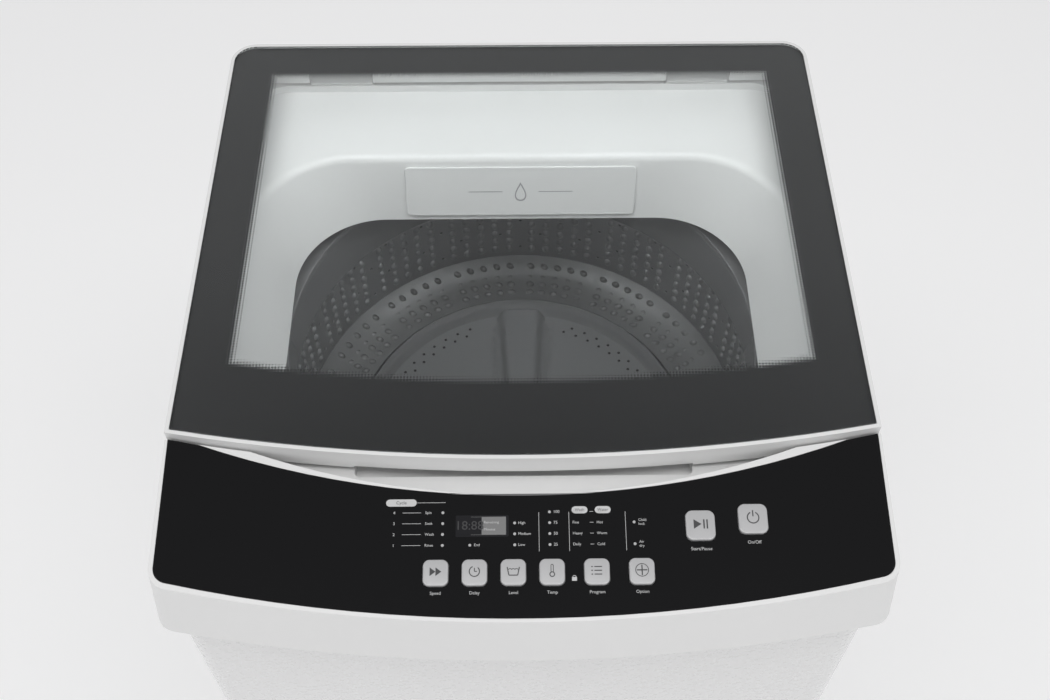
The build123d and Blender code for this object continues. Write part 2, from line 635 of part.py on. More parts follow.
INLET_BOX_BACK = WELL_BACK + 52
VALVE_FACE = BACK - INLET_POCKET - PLASTIC
VALVE_LENGTH = 24.0
SOLENOID_LENGTH = 16.0
DUCT_RADIUS = 7.0
DUCT_Y = VALVE_FACE - VALVE_LENGTH - SOLENOID_LENGTH - DUCT_RADIUS - GAP
with BuildPart() as inlet_box:
    # open-fronted water box behind the faceplate
    with BuildSketch(Plane.XY.offset(WELL_Z + 17)):
        with Locations((0, (WELL_BACK + 3 + INLET_BOX_BACK) / 2)):
            Rectangle(2 * INLET_BOX_HALF, INLET_BOX_BACK - WELL_BACK - 3)
    extrude(amount=30)
    with BuildSketch(Plane.XY.offset(WELL_Z + 19)):
        with Locations((0, (WELL_BACK + INLET_BOX_BACK) / 2 - 2)):
            Rectangle(2 * INLET_BOX_HALF - 5, INLET_BOX_BACK - WELL_BACK - 2)
    extrude(amount=26, mode=Mode.SUBTRACT)
    # duct along the solenoids and a tube into the side of the box
    with BuildSketch(Plane.XY.offset(WELL_Z + 22)):
        with Locations(((INLET_X[0] + INLET_X[1]) / 2, DUCT_Y)):
            Rectangle(INLET_X[1] - INLET_X[0] + 22, 2 * DUCT_RADIUS)
    extrude(amount=2 * DUCT_RADIUS)
    with BuildSketch(Plane.YZ.offset(INLET_BOX_HALF)):
        with Locations((DUCT_Y, WELL_Z + 22 + DUCT_RADIUS)):
            Circle(DUCT_RADIUS - 1)
    extrude(amount=INLET_X[0] - 11 - INLET_BOX_HALF)
save(inlet_box, "inlet_box")

with BuildPart() as inlet_valves:
    for x in INLET_X:
        # body against the recess wall
        with BuildSketch(Plane.XZ.offset(-VALVE_FACE)):
            with Locations((x, INLET_Z)):
                RectangleRounded(32, 30, 4)
        extrude(amount=VALVE_LENGTH)
        # neck through the wall and the threaded spigot outside it
        with BuildSketch(Plane.XZ.offset(-VALVE_FACE)):
            with Locations((x, INLET_Z)):
                Circle(SPIGOT_RADIUS - 1.5)
        extrude(amount=-(PLASTIC + 2.5))
        with BuildSketch(Plane.XZ.offset(-(VALVE_FACE + PLASTIC + 1.5))):
            with Locations((x, INLET_Z)):
                Circle(SPIGOT_RADIUS)
        extrude(amount=-SPIGOT_LENGTH)
        with BuildSketch(Plane.XZ.offset(-(VALVE_FACE + PLASTIC + 1.5 + SPIGOT_LENGTH))):
            with Locations((x, INLET_Z)):
                Circle(SPIGOT_RADIUS - 3.2)
        extrude(amount=SPIGOT_LENGTH + 4, mode=Mode.SUBTRACT)
        # solenoid
        with Locations((x, VALVE_FACE - VALVE_LENGTH, INLET_Z)):
            Cylinder(11, SOLENOID_LENGTH, rotation=(90, 0, 0), align=(Align.CENTER, Align.CENTER, Align.MIN))
save(inlet_valves, "inlet_valves")

# ---------------------------------------------------------------- cabinet
CAB_MIDDLE = (CAB_FRONT + CAB_BACK) / 2
CAB_LENGTH = CAB_BACK - CAB_FRONT
SHELL_BACK = CAB_BACK - STEEL


def cabinet_face(inset=0.0):
    """Cabinet outline, up to the inner face of the rear panel."""
    with Locations((0, (CAB_FRONT + SHELL_BACK) / 2)):
        RectangleRounded(2 * (CAB_HALF - inset), SHELL_BACK - CAB_FRONT - 2 * inset, CABINET_CORNER - inset)


with BuildPart() as cabinet_shell:
    with BuildSketch(Plane.XY.offset(CABINET_FOOT)):
        cabinet_face()
        with Locations((0, (CAB_FRONT + SHELL_BACK) / 2)):
            RectangleRounded(2 * (CAB_HALF - STEEL), SHELL_BACK - CAB_FRONT - 2 * STEEL, CABINET_CORNER - STEEL,
                             mode=Mode.SUBTRACT)
        with Locations((0, SHELL_BACK)):
            Rectangle(2 * (CAB_HALF - FLANGE_WIDTH), 10, mode=Mode.SUBTRACT)
    extrude(amount=CAB_TOP - CABINET_FOOT)
    # the rear flanges stop under the cover's back wall
    with Locations((0, SHELL_BACK, (SKIRT_Z + CAB_TOP) / 2)):
        Box(2 * (CAB_HALF - CABINET_CORNER), 10, CAB_TOP - SKIRT_Z, mode=Mode.SUBTRACT)
save(cabinet_shell, "cabinet_shell")

REAR_HALF = CAB_HALF - CABINET_CORNER
RECESS_HALF = 32.0
REAR_TOP = SKIRT_Z - GAP
CORD_X = REAR_HALF - 45.0
CORD_Z = REAR_TOP - 46.0
GLAND_RADIUS = 9.0
GLAND_BORE = 4.5
VENT_PITCH = 16.0
VENT_ROWS = 7
VENT_WIDTH = 5.0
VENT_Z = 300.0
VENTS = ((-60.0, 110.0), (150.0, 60.0))  # middle and length of each block of vent slots
with BuildPart() as rear_panel:
    with BuildSketch(Plane.XZ.offset(-SHELL_BACK)):
        with Locations((0, (CABINET_FOOT + REAR_TOP) / 2)):
            Rectangle(2 * REAR_HALF, REAR_TOP - CABINET_FOOT)
        with Locations((DRAIN_X, DRAIN_Z)):
            RectangleRounded(2 * RECESS_HALF - 2, 2 * RECESS_HALF - 2, 7, mode=Mode.SUBTRACT)
        # vent slots and the hole for the power cord
        for middle, length in VENTS:
            with Locations((middle, VENT_Z)):
                with GridLocations(0, VENT_PITCH, 1, VENT_ROWS):
                    SlotOverall(length, VENT_WIDTH, mode=Mode.SUBTRACT)
        with Locations((CORD_X, CORD_Z)):
            Circle(GLAND_RADIUS, mode=Mode.SUBTRACT)
    extrude(amount=-STEEL)
    # pressed recess that keeps the drain outlet inside the outline
    with BuildSketch(Plane.XZ.offset(-(CAB_BACK - DRAIN_RECESS))):
        with Locations((DRAIN_X, DRAIN_Z)):
            RectangleRounded(2 * RECESS_HALF, 2 * RECESS_HALF, 8)
    extrude(amount=-DRAIN_RECESS)
    with BuildSketch(Plane.XZ.offset(-(CAB_BACK - DRAIN_RECESS + STEEL))):
        with Locations((DRAIN_X, DRAIN_Z)):
            RectangleRounded(2 * RECESS_HALF - 2, 2 * RECESS_HALF - 2, 7)
    extrude(amount=-DRAIN_RECESS, mode=Mode.SUBTRACT)
    with BuildSketch(Plane.XZ.offset(-(CAB_BACK - DRAIN_RECESS))):
        with Locations((DRAIN_X, DRAIN_Z)):
            Circle(DRAIN_RADIUS - 1)
    extrude(amount=-STEEL, mode=Mode.SUBTRACT)
save(rear_panel, "rear_panel")

SCREW_HEIGHTS = [CABINET_FOOT + 50 + (REAR_TOP - CABINET_FOOT - 100) * step / 4 for step in range(5)]
with BuildPart() as rear_screws:
    for z in SCREW_HEIGHTS:
        for x in (-(REAR_HALF - 6), REAR_HALF - 6):
            with Locations(Location((x, CAB_BACK, z), (-90, 0, 0))):
                Cylinder(4.0, 2.2, align=(Align.CENTER, Align.CENTER, Align.MIN))
save(rear_screws, "rear_screws")

with BuildPart() as cord_gland:
    # empty strain relief: a collar outside the panel and a neck through it
    with Locations(Location((CORD_X, CAB_BACK, CORD_Z), (-90, 0, 0))):
        Cylinder(GLAND_RADIUS + PLASTIC, 3.5, align=(Align.CENTER, Align.CENTER, Align.MIN))
        Cylinder(GLAND_RADIUS, 14, align=(Align.CENTER, Align.CENTER, Align.MAX))
        Cylinder(GLAND_BORE, 60, mode=Mode.SUBTRACT)
save(cord_gland, "cord_gland")

with BuildPart() as base_frame:
    with BuildSketch(Plane.XY.offset(CABINET_FOOT)):
        cabinet_face(STEEL + GAP)
        with Locations((0, CAB_MIDDLE)):
            RectangleRounded(2 * CAB_HALF - 150, CAB_LENGTH - 150, 60, mode=Mode.SUBTRACT)
    extrude(amount=BASE_TOP - CABINET_FOOT)
    # hollow underside, with a boss left round each foot's thread
    with BuildSketch(Plane.XY.offset(CABINET_FOOT)):
        cabinet_face(STEEL + GAP + 4)
        with Locations((0, CAB_MIDDLE)):
            RectangleRounded(2 * CAB_HALF - 142, CAB_LENGTH - 142, 64, mode=Mode.SUBTRACT)
    extrude(amount=BASE_TOP - CABINET_FOOT - 5, mode=Mode.SUBTRACT)
    with BuildSketch(Plane.XY.offset(CABINET_FOOT - 4)):
        with Locations(*FOOT_SPOTS):
            Circle(17)
    extrude(amount=BASE_TOP - CABINET_FOOT)
    # rim under the cabinet's lower edge
    with BuildSketch(Plane.XY.offset(CABINET_FOOT - 4)):
        cabinet_face()
        with Locations((0, CAB_MIDDLE)):
            RectangleRounded(2 * CAB_HALF - 20, CAB_LENGTH - 20, 12, mode=Mode.SUBTRACT)
    extrude(amount=4)
    with BuildSketch(Plane.XY.offset(CABINET_FOOT - 4)):
        with Locations(*FOOT_SPOTS):
            Circle(STUD_RADIUS + RUNNING)
    extrude(amount=BASE_TOP, mode=Mode.SUBTRACT)
save(base_frame, "base_frame")

NUT_THICKNESS = 7.0
FEET = {"foot_front_left": FOOT_SPOTS[0:1], "foot_front_right": FOOT_SPOTS[1:2], "rear_feet": FOOT_SPOTS[2:4]}
for name, spots in FEET.items():
    with BuildPart() as foot:
        for x, y in spots:
            with Locations((x, y, 0)):
                Cone(FOOT_RADIUS, FOOT_RADIUS - 5, FOOT_HEIGHT, align=(Align.CENTER, Align.CENTER, Align.MIN))
            # screw thread and the nut that turns with it
            with Locations((x, y, FOOT_HEIGHT + GAP)):
                Cylinder(STUD_RADIUS, BASE_TOP + 8 - FOOT_HEIGHT, align=(Align.CENTER, Align.CENTER, Align.MIN))
            with BuildSketch(Plane.XY.offset(FOOT_HEIGHT + GAP)):
                with Locations((x, y)):
                    RegularPolygon(9.5, 6)
            extrude(amount=NUT_THICKNESS)
    save(foot, name)

# ---------------------------------------------------------------- suspension
HANGER_THICKNESS = 3.0
with BuildPart() as corner_hangers:
    # a plate across each top corner of the cabinet that a rod hangs from
    for sx in (-1, 1):
        for y_wall, sy in ((CAB_FRONT + STEEL, -1), (SHELL_BACK - STEEL, 1)):
            x_wall = sx * (CAB_HALF - STEEL)
            spot_x, spot_y = sx * ROD_X, AXIS_Y + sy * ROD_X
            reach = abs(y_wall - spot_y) + 26
            with BuildSketch(Plane.XY.offset(ROD_TOP - 14 - HANGER_THICKNESS)):
                with BuildLine():
                    Polyline((x_wall, y_wall - sy * CABINET_CORNER), (x_wall, y_wall - sy * reach),
                             (spot_x - sx * 18, y_wall - sy * reach), (spot_x - sx * 18, y_wall),
                             (x_wall - sx * CABINET_CORNER, y_wall), close=True)
                make_face()
                with Locations((spot_x, spot_y)):
                    Circle(ROD_RADIUS + GAP, mode=Mode.SUBTRACT)
            extrude(amount=HANGER_THICKNESS)
save(corner_hangers, "corner_hangers")

with BuildPart() as suspension_rods:
    for x, y in ROD_SPOTS:
        with Locations((x, y, ROD_BOTTOM)):
            Cylinder(ROD_RADIUS, ROD_TOP - ROD_BOTTOM, align=(Align.CENTER, Align.CENTER, Align.MIN))
save(suspension_rods, "suspension_rods")

CUP_RADIUS = SPRING_RADIUS + 5
CUP_TOP = EAR_BOTTOM - SPRING_LENGTH
with BuildPart() as rod_caps:
    for x, y in ROD_SPOTS:
        # domed cap on the hanger, and the cup under the spring
        with Locations((x, y, ROD_TOP - 14)):
            Cylinder(13, 10, align=(Align.CENTER, Align.CENTER, Align.MIN))
        with Locations((x, y, CUP_TOP - 8)):
            Cylinder(CUP_RADIUS, 8, align=(Align.CENTER, Align.CENTER, Align.MIN))
        with Locations((x, y, ROD_BOTTOM)):
            Cylinder(ROD_RADIUS, ROD_TOP - ROD_BOTTOM, mode=Mode.SUBTRACT,
                     align=(Align.CENTER, Align.CENTER, Align.MIN))
save(rod_caps, "rod_caps")

COIL_LENGTH = SPRING_LENGTH - 2 * SPRING_WIRE - 2 * GAP
with BuildPart() as suspension_springs:
    for x, y in ROD_SPOTS:
        with BuildLine(Plane((x, y, CUP_TOP + SPRING_WIRE + GAP))):
            coil = Helix(COIL_LENGTH / SPRING_TURNS, COIL_LENGTH, SPRING_RADIUS)
        with BuildSketch(Plane(coil @ 0, z_dir=coil % 0)):
            Circle(SPRING_WIRE)
        sweep(path=coil, is_frenet=True)
save(suspension_springs, "suspension_springs")

# ---------------------------------------------------------------- tub
AXIS = (0, AXIS_Y)
TUB_AXIS = Axis((0, AXIS_Y, 0), (0, 0, 1))
EAR_LENGTH = math.sqrt(2) * ROD_X + 20
DRAIN_HOLE_Y = AXIS_Y + 90
with BuildPart() as outer_tub:
    with Locations((0, AXIS_Y, TUB_FLOOR_Z - TUB_FLOOR)):
        Cylinder(TUB_OUTER, HEIGHT - TUB_DROP - TUB_FLOOR_Z + TUB_FLOOR,
                 align=(Align.CENTER, Align.CENTER, Align.MIN))
    fillet(outer_tub.faces().sort_by(Axis.Z)[0].edges(), 14)
    # four ears that slide on the suspension rods
    for index in range(4):
        turn = Location((0, AXIS_Y, EAR_BOTTOM), (0, 0, 45 + 90 * index))
        with Locations(turn):
            with Locations((EAR_LENGTH / 2, 0, 0)):
                Box(EAR_LENGTH, 44, EAR_THICKNESS, align=(Align.CENTER, Align.CENTER, Align.MIN))
    with Locations((0, AXIS_Y, TUB_FLOOR_Z)):
        Cylinder(TUB_R, HEIGHT, align=(Align.CENTER, Align.CENTER, Align.MIN), mode=Mode.SUBTRACT)
    with Locations((0, AXIS_Y, 0)):
        Cylinder(SPIN_TUBE_RADIUS + 4, HEIGHT, align=(Align.CENTER, Align.CENTER, Align.MIN), mode=Mode.SUBTRACT)
    with Locations((DRAIN_X, DRAIN_HOLE_Y, 0)):
        Cylinder(14, HEIGHT, align=(Align.CENTER, Align.CENTER, Align.MIN), mode=Mode.SUBTRACT)
    with BuildSketch(Plane.XY.offset(EAR_BOTTOM)):
        with Locations(*ROD_SPOTS):
            Circle(ROD_RADIUS + GAP)
    extrude(amount=EAR_THICKNESS, mode=Mode.SUBTRACT)
save(outer_tub, "outer_tub")

TUB_TOP = HEIGHT - TUB_DROP
with BuildPart() as tub_cover:
    with BuildSketch(Plane.XY.offset(TUB_TOP)):
        with Locations(AXIS):
            Circle(TUB_OUTER + 2)
            Circle(TUB_R - TUB_COVER_LIP, mode=Mode.SUBTRACT)
    extrude(amount=TUB_DROP - TUB_COVER_DROP)
    with BuildSketch(Plane.XY.offset(TUB_TOP - 8)):
        with Locations(AXIS):
            Circle(TUB_OUTER + 2)
            Circle(TUB_OUTER + GAP, mode=Mode.SUBTRACT)
    extrude(amount=8)
save(tub_cover, "tub_cover")

with BuildPart() as tub_seal:
    with BuildSketch(Plane.XY.offset(TUB_FLOOR_Z - TUB_FLOOR)):
        with Locations(AXIS):
            Circle(SPIN_TUBE_RADIUS + 4)
            Circle(SPIN_TUBE_RADIUS + RUNNING, mode=Mode.SUBTRACT)
    extrude(amount=TUB_FLOOR + 3)
save(tub_seal, "tub_seal")

# ---------------------------------------------------------------- basket
BASE_RISE = 48.0
HUB_RADIUS = 58.0
FLOOR_THICKNESS = 4.0
HEM = 3.0
WALL_HOLE_RADIUS = 1.6


def turned(points, mode=Mode.ADD):
    """Revolve a closed outline, given as radius and height, about the tub's axis."""
    with BuildSketch(Plane.XZ.offset(-AXIS_Y)) as profile:
        with BuildLine():
            Polyline(*points, close=True)
        make_face()
    revolve(profile.sketch, axis=TUB_AXIS, mode=mode)


with BuildPart() as basket_wall:
    turned([
        (BASKET_R, BASKET_FLOOR - FLOOR_THICKNESS), (BASKET_R + BASKET_STEEL, BASKET_FLOOR - FLOOR_THICKNESS),
        (BASKET_R + BASKET_STEEL, GROOVE_TOP), (BASKET_R, GROOVE_TOP),
    ])
    hole_bottom = BASKET_FLOOR + BASE_RISE + 14
    hole_step = (RING_BOTTOM - 12 - hole_bottom) / (HOLE_ROWS - 1)
    for row in range(HOLE_ROWS):
        with Locations((0, AXIS_Y, hole_bottom + row * hole_step)):
            with PolarLocations(BASKET_R, HOLES_ROUND, start_angle=(row % 2) * 180 / HOLES_ROUND):
                Cylinder(WALL_HOLE_RADIUS, 8, rotation=(0, 90, 0), mode=Mode.SUBTRACT)
save(basket_wall, "basket_wall")

with BuildPart() as basket_base:
    # hub on the spin tube, a flat floor and a bowl that rises to the steel wall
    bottom = BASKET_FLOOR - FLOOR_THICKNESS
    outer = BASKET_R - GAP
    with BuildSketch(Plane.XZ.offset(-AXIS_Y)):
        with BuildLine():
            Polyline((SPIN_TUBE_RADIUS, bottom - 8), (HUB_RADIUS, bottom - 8), (HUB_RADIUS + 12, bottom),
                     (outer, bottom), (outer, BASKET_FLOOR + BASE_RISE))
            ThreePointArc((outer, BASKET_FLOOR + BASE_RISE), (PULSATOR_R + 25, BASKET_FLOOR + 34),
                          (PULSATOR_R + 3, BASKET_FLOOR + 30))
            Polyline((PULSATOR_R + 3, BASKET_FLOOR + 30), (PULSATOR_R + 3, BASKET_FLOOR),
                     (SPIN_TUBE_RADIUS, BASKET_FLOOR), (SPIN_TUBE_RADIUS, bottom - 8))
        make_face()
    revolve(axis=TUB_AXIS)
    # hollow of the bowl's underside
    turned([
        (PULSATOR_R + 6, bottom), (outer - 3, bottom), (outer - 3, BASKET_FLOOR + 34),
        (PULSATOR_R + 6, BASKET_FLOOR + 26),
    ], mode=Mode.SUBTRACT)
    # hem that carries the steel wall
    with BuildSketch(Plane.XY.offset(bottom - HEM)):
        with Locations(AXIS):
            Circle(BASKET_R + BASKET_STEEL + 1)
            Circle(BASKET_R - 5, mode=Mode.SUBTRACT)
    extrude(amount=HEM)
save(basket_base, "basket_base")

with BuildPart() as balance_ring:
    turned([
        (RING_INNER, RING_BOTTOM), (RING_OUTER, RING_BOTTOM), (RING_OUTER, RING_TOP), (RING_INNER, RING_TOP),
    ])
    fillet(balance_ring.edges().filter_by(GeomType.CIRCLE).group_by(Axis.Z)[-1], 5)
    # groove that sits on the steel wall
    turned([
        (BASKET_R - GAP, RING_BOTTOM), (BASKET_R + BASKET_STEEL + GAP, RING_BOTTOM),
        (BASKET_R + BASKET_STEEL + GAP, GROOVE_TOP), (BASKET_R - GAP, GROOVE_TOP),
    ], mode=Mode.SUBTRACT)
save(balance_ring, "balance_ring")

with BuildPart() as spin_tube:
    with BuildSketch(Plane.XY.offset(CLUTCH_BOTTOM + 12)):
        with Locations(AXIS):
            Circle(SPIN_TUBE_RADIUS)
            Circle(SHAFT_RADIUS + RUNNING, mode=Mode.SUBTRACT)
    extrude(amount=BASKET_FLOOR + 5 - CLUTCH_BOTTOM - 12)
save(spin_tube, "spin_tube")

# ---------------------------------------------------------------- pulsator
HUB_TOP = PULSATOR_RIM + 20
DISH_DROP = 11.0
FIN_WIDTH = 26.0
DRAIN_HOLES = 9  # in each ring, between two fins
DRAIN_HOLE_STEP = 5.7  # degrees
DRAIN_HOLE_RADIUS = 1.4
with BuildPart() as pulsator:
    with BuildSketch(Plane.XZ.offset(-AXIS_Y)):
        with BuildLine():
            Polyline((SHAFT_RADIUS, PULSATOR_BOTTOM), (PULSATOR_R - 3, PULSATOR_BOTTOM),
                     (PULSATOR_R, PULSATOR_BOTTOM + 3), (PULSATOR_R, PULSATOR_RIM - 3))
            ThreePointArc((PULSATOR_R, PULSATOR_RIM - 3), (PULSATOR_R - 3, PULSATOR_RIM),
                          (PULSATOR_R - 6, PULSATOR_RIM - 3))
            Spline((PULSATOR_R - 6, PULSATOR_RIM - 3), (PULSATOR_R - 24, PULSATOR_RIM - DISH_DROP),
                   (PULSATOR_R / 2, PULSATOR_RIM - DISH_DROP + 3), (34, HUB_TOP - 10), (18, HUB_TOP))
            Polyline((18, HUB_TOP), (SHAFT_RADIUS, HUB_TOP), (SHAFT_RADIUS, PULSATOR_BOTTOM))
        make_face()
    revolve(axis=TUB_AXIS)
    # wide rounded fins from the hub to the rim
    for index in range(FIN_COUNT):
        turn = 90 + 360 / FIN_COUNT * index
        with Locations(Location((0, AXIS_Y, PULSATOR_BOTTOM + 6), (0, 0, turn))):
            with Locations((PULSATOR_R / 2, 0, 0)):
                Box(PULSATOR_R - 8, FIN_WIDTH, PULSATOR_RIM - PULSATOR_BOTTOM + 1,
                    align=(Align.CENTER, Align.CENTER, Align.MIN))
    # two rings of drain holes near the rim, left out under the fins
    for ring, radius in enumerate((PULSATOR_R - 20, PULSATOR_R - 27)):
        for sector in range(FIN_COUNT):
            for step in range(DRAIN_HOLES):
                angle = math.radians(360 / FIN_COUNT * sector + 22 + DRAIN_HOLE_STEP * (step + ring / 2))
                with Locations((radius * math.cos(angle), AXIS_Y + radius * math.sin(angle), PULSATOR_BOTTOM)):
                    Cylinder(DRAIN_HOLE_RADIUS, 60, mode=Mode.SUBTRACT)
    with Locations((0, AXIS_Y, 0)):
        Cylinder(SHAFT_RADIUS, 2 * HEIGHT, mode=Mode.SUBTRACT)
save(pulsator, "pulsator")

with BuildPart() as pulsator_cap:
    with BuildSketch(Plane.XY.offset(HUB_TOP + 7)):
        with Locations(AXIS):
            Circle(17)
    extrude(amount=4)
    fillet(pulsator_cap.faces().sort_by(Axis.Z)[-1].edges(), 2.5)
    with BuildSketch(Plane.XY.offset(HUB_TOP)):
        with Locations(AXIS):
            Circle(SHAFT_RADIUS - 2)
    extrude(amount=7)
save(pulsator_cap, "pulsator_cap")

with BuildPart() as drive_shaft:
    with Locations((0, AXIS_Y, PULLEY_Z - PULLEY_WIDTH - 4)):
        Cylinder(SHAFT_RADIUS, HUB_TOP - PULLEY_Z + PULLEY_WIDTH + 4, align=(Align.CENTER, Align.CENTER, Align.MIN))
save(drive_shaft, "drive_shaft")

# ---------------------------------------------------------------- drive
with BuildPart() as clutch_housing:
    # gear case under the tub, bored for the spin tube
    with BuildSketch(Plane.XY.offset(CLUTCH_BOTTOM)):
        with Locations(AXIS):
            Circle(CLUTCH_RADIUS)
    extrude(amount=CLUTCH_HEIGHT)
    fillet(clutch_housing.faces().sort_by(Axis.Z)[0].edges(), 12)
    with Locations((0, AXIS_Y, 0)):
        Cylinder(SPIN_TUBE_RADIUS + RUNNING, 3 * HEIGHT, mode=Mode.SUBTRACT)
save(clutch_housing, "clutch_housing")

TUB_UNDERSIDE = TUB_FLOOR_Z - TUB_FLOOR
BRACKET_THICKNESS = TUB_UNDERSIDE - BRACKET_Z
LEVER_X = -CLUTCH_RADIUS - 14
LEVER_Y = AXIS_Y
LEVER_PIN = 4.0
LEVER_Z = CLUTCH_BOTTOM + 40

with BuildPart() as motor_bracket:
    # steel plate between the tub, the gear case and the motor
    with BuildSketch(Plane.XY.offset(BRACKET_Z)):
        with Locations((MOTOR_OFFSET / 4, AXIS_Y)):
            RectangleRounded(2 * MOTOR_OFFSET + 80, 130, 20)
        with Locations(AXIS):
            Circle(SPIN_TUBE_RADIUS + 4, mode=Mode.SUBTRACT)
        with Locations((MOTOR_OFFSET, AXIS_Y)):
            Circle(10, mode=Mode.SUBTRACT)
    extrude(amount=BRACKET_THICKNESS)
    # pin of the brake lever
    with Locations((LEVER_X, LEVER_Y, LEVER_Z - 8)):
        Cylinder(LEVER_PIN, BRACKET_Z - LEVER_Z + 8, align=(Align.CENTER, Align.CENTER, Align.MIN))
save(motor_bracket, "motor_bracket")

ROTOR_SHAFT = 6.0
MOTOR_BOTTOM = BRACKET_Z - MOTOR_HEIGHT
with BuildPart() as motor_case:
    with BuildSketch(Plane.XY.offset(MOTOR_BOTTOM)):
        with Locations((MOTOR_OFFSET, AXIS_Y)):
            Circle(MOTOR_RADIUS)
    extrude(amount=MOTOR_HEIGHT)
    fillet(motor_case.faces().sort_by(Axis.Z)[0].edges(), 8)
    with Locations((MOTOR_OFFSET, AXIS_Y, MOTOR_BOTTOM)):
        Cylinder(ROTOR_SHAFT + RUNNING, MOTOR_HEIGHT - 10, mode=Mode.SUBTRACT,
                 align=(Align.CENTER, Align.CENTER, Align.MIN))
save(motor_case, "motor_case")

with BuildPart() as motor_shaft:
    with Locations((MOTOR_OFFSET, AXIS_Y, PULLEY_Z - PULLEY_WIDTH - 4)):
        Cylinder(ROTOR_SHAFT, MOTOR_BOTTOM + MOTOR_HEIGHT - 12 - PULLEY_Z + PULLEY_WIDTH + 4,
                 align=(Align.CENTER, Align.CENTER, Align.MIN))
save(motor_shaft, "motor_shaft")

GROOVE_DEPTH = 5.0
for name, x, radius, bore in (
    ("drive_pulley", 0, PULLEY_RADIUS, SHAFT_RADIUS),
    ("motor_pulley", MOTOR_OFFSET, MOTOR_PULLEY_RADIUS, ROTOR_SHAFT),
):
    with BuildPart() as wheel:
        # flanged rim with a belt groove
        with BuildSketch(Plane.XZ.offset(-AXIS_Y)):
            with BuildLine():
                Polyline((bore, PULLEY_Z - PULLEY_WIDTH), (radius, PULLEY_Z - PULLEY_WIDTH),
                         (radius, PULLEY_Z - PULLEY_WIDTH + 2.5),
                         (radius - GROOVE_DEPTH, PULLEY_Z - PULLEY_WIDTH + 5),
                         (radius - GROOVE_DEPTH, PULLEY_Z - 5), (radius, PULLEY_Z - 2.5), (radius, PULLEY_Z),
                         (bore, PULLEY_Z), close=True)
            make_face()
        revolve(axis=TUB_AXIS)
    wheel.part.label = name
    export_step(wheel.part.moved(Location((x, 0, 0))), f"parts/{name}.step")

BELT_THICKNESS = 3.5
with BuildPart() as drive_belt:
    # flat loop around both pulleys: two arcs and their outer tangents
    lean = math.acos((PULLEY_RADIUS - MOTOR_PULLEY_RADIUS) / MOTOR_OFFSET)
    with BuildSketch(Plane.XY.offset(PULLEY_Z - PULLEY_WIDTH + 5.5)):
        for grow, mode in ((BELT_THICKNESS, Mode.ADD), (0.0, Mode.SUBTRACT)):
            large = PULLEY_RADIUS - GROOVE_DEPTH + GAP + grow
            small = MOTOR_PULLEY_RADIUS - GROOVE_DEPTH + GAP + grow
            with BuildSketch(mode=mode):
                with BuildLine():
                    start = (large * math.cos(lean), AXIS_Y + large * math.sin(lean))
                    low = (large * math.cos(lean), AXIS_Y - large * math.sin(lean))
                    right = (MOTOR_OFFSET + small * math.cos(lean), AXIS_Y + small * math.sin(lean))
                    right_low = (MOTOR_OFFSET + small * math.cos(lean), AXIS_Y - small * math.sin(lean))
                    ThreePointArc(start, (-large, AXIS_Y), low)
                    Line(low, right_low)
                    ThreePointArc(right_low, (MOTOR_OFFSET + small, AXIS_Y), right)
                    Line(right, start)
                make_face()
    extrude(amount=PULLEY_WIDTH - 11)
save(drive_belt, "drive_belt")

with BuildPart() as brake_lever:
    # arm that swings about its pin when the drain motor pulls it
    with BuildSketch(Plane.XY.offset(LEVER_Z)):
        with Locations((LEVER_X, LEVER_Y)):
            Circle(9)
        with Locations((LEVER_X - 1, LEVER_Y - 28)):
            RectangleRounded(12, 60, 5)
        with Locations((LEVER_X, LEVER_Y)):
            Circle(LEVER_PIN + RUNNING, mode=Mode.SUBTRACT)
    extrude(amount=5)
save(brake_lever, "brake_lever")

# ---------------------------------------------------------------- drain
VALVE_HEIGHT = 46.0
VALVE_BOTTOM = TUB_UNDERSIDE - VALVE_HEIGHT
with BuildPart() as drain_valve:
    with Locations((DRAIN_X, DRAIN_HOLE_Y, VALVE_BOTTOM)):
        Cylinder(24, VALVE_HEIGHT, align=(Align.CENTER, Align.CENTER, Align.MIN))
    with Locations((DRAIN_X, DRAIN_HOLE_Y, VALVE_BOTTOM - 14)):
        Cylinder(DRAIN_RADIUS - 1, 14, align=(Align.CENTER, Align.CENTER, Align.MIN))
    with Locations((DRAIN_X, DRAIN_HOLE_Y, 0)):
        Cylinder(11, HEIGHT, align=(Align.CENTER, Align.CENTER, Align.MIN), mode=Mode.SUBTRACT)
    # motor that pulls the valve and the brake lever
    with Locations((DRAIN_X - 46, DRAIN_HOLE_Y + 8, TUB_UNDERSIDE - 34)):
        Box(40, 62, 34, align=(Align.CENTER, Align.CENTER, Align.MIN))
save(drain_valve, "drain_valve")

HOSE_TOP = VALVE_BOTTOM - 14
ELBOW_TOP = DRAIN_Z + 40.0
with BuildPart() as drain_hose:
    # ribbed hose that gives with the tub's travel
    with BuildSketch(Plane.XY.offset(ELBOW_TOP)):
        with Locations((DRAIN_X, DRAIN_HOLE_Y)):
            Circle(DRAIN_RADIUS - 2)
            Circle(DRAIN_RADIUS - 4, mode=Mode.SUBTRACT)
    extrude(amount=HOSE_TOP - ELBOW_TOP)
    rib_pitch = 12.0
    ribs = int((HOSE_TOP - ELBOW_TOP - 8) / rib_pitch)
    for index in range(ribs):
        with BuildSketch(Plane.XY.offset(ELBOW_TOP + 6 + rib_pitch * index)):
            with Locations((DRAIN_X, DRAIN_HOLE_Y)):
                Circle(DRAIN_RADIUS + 1)
                Circle(DRAIN_RADIUS - 4, mode=Mode.SUBTRACT)
        extrude(amount=rib_pitch / 2)
save(drain_hose, "drain_hose")

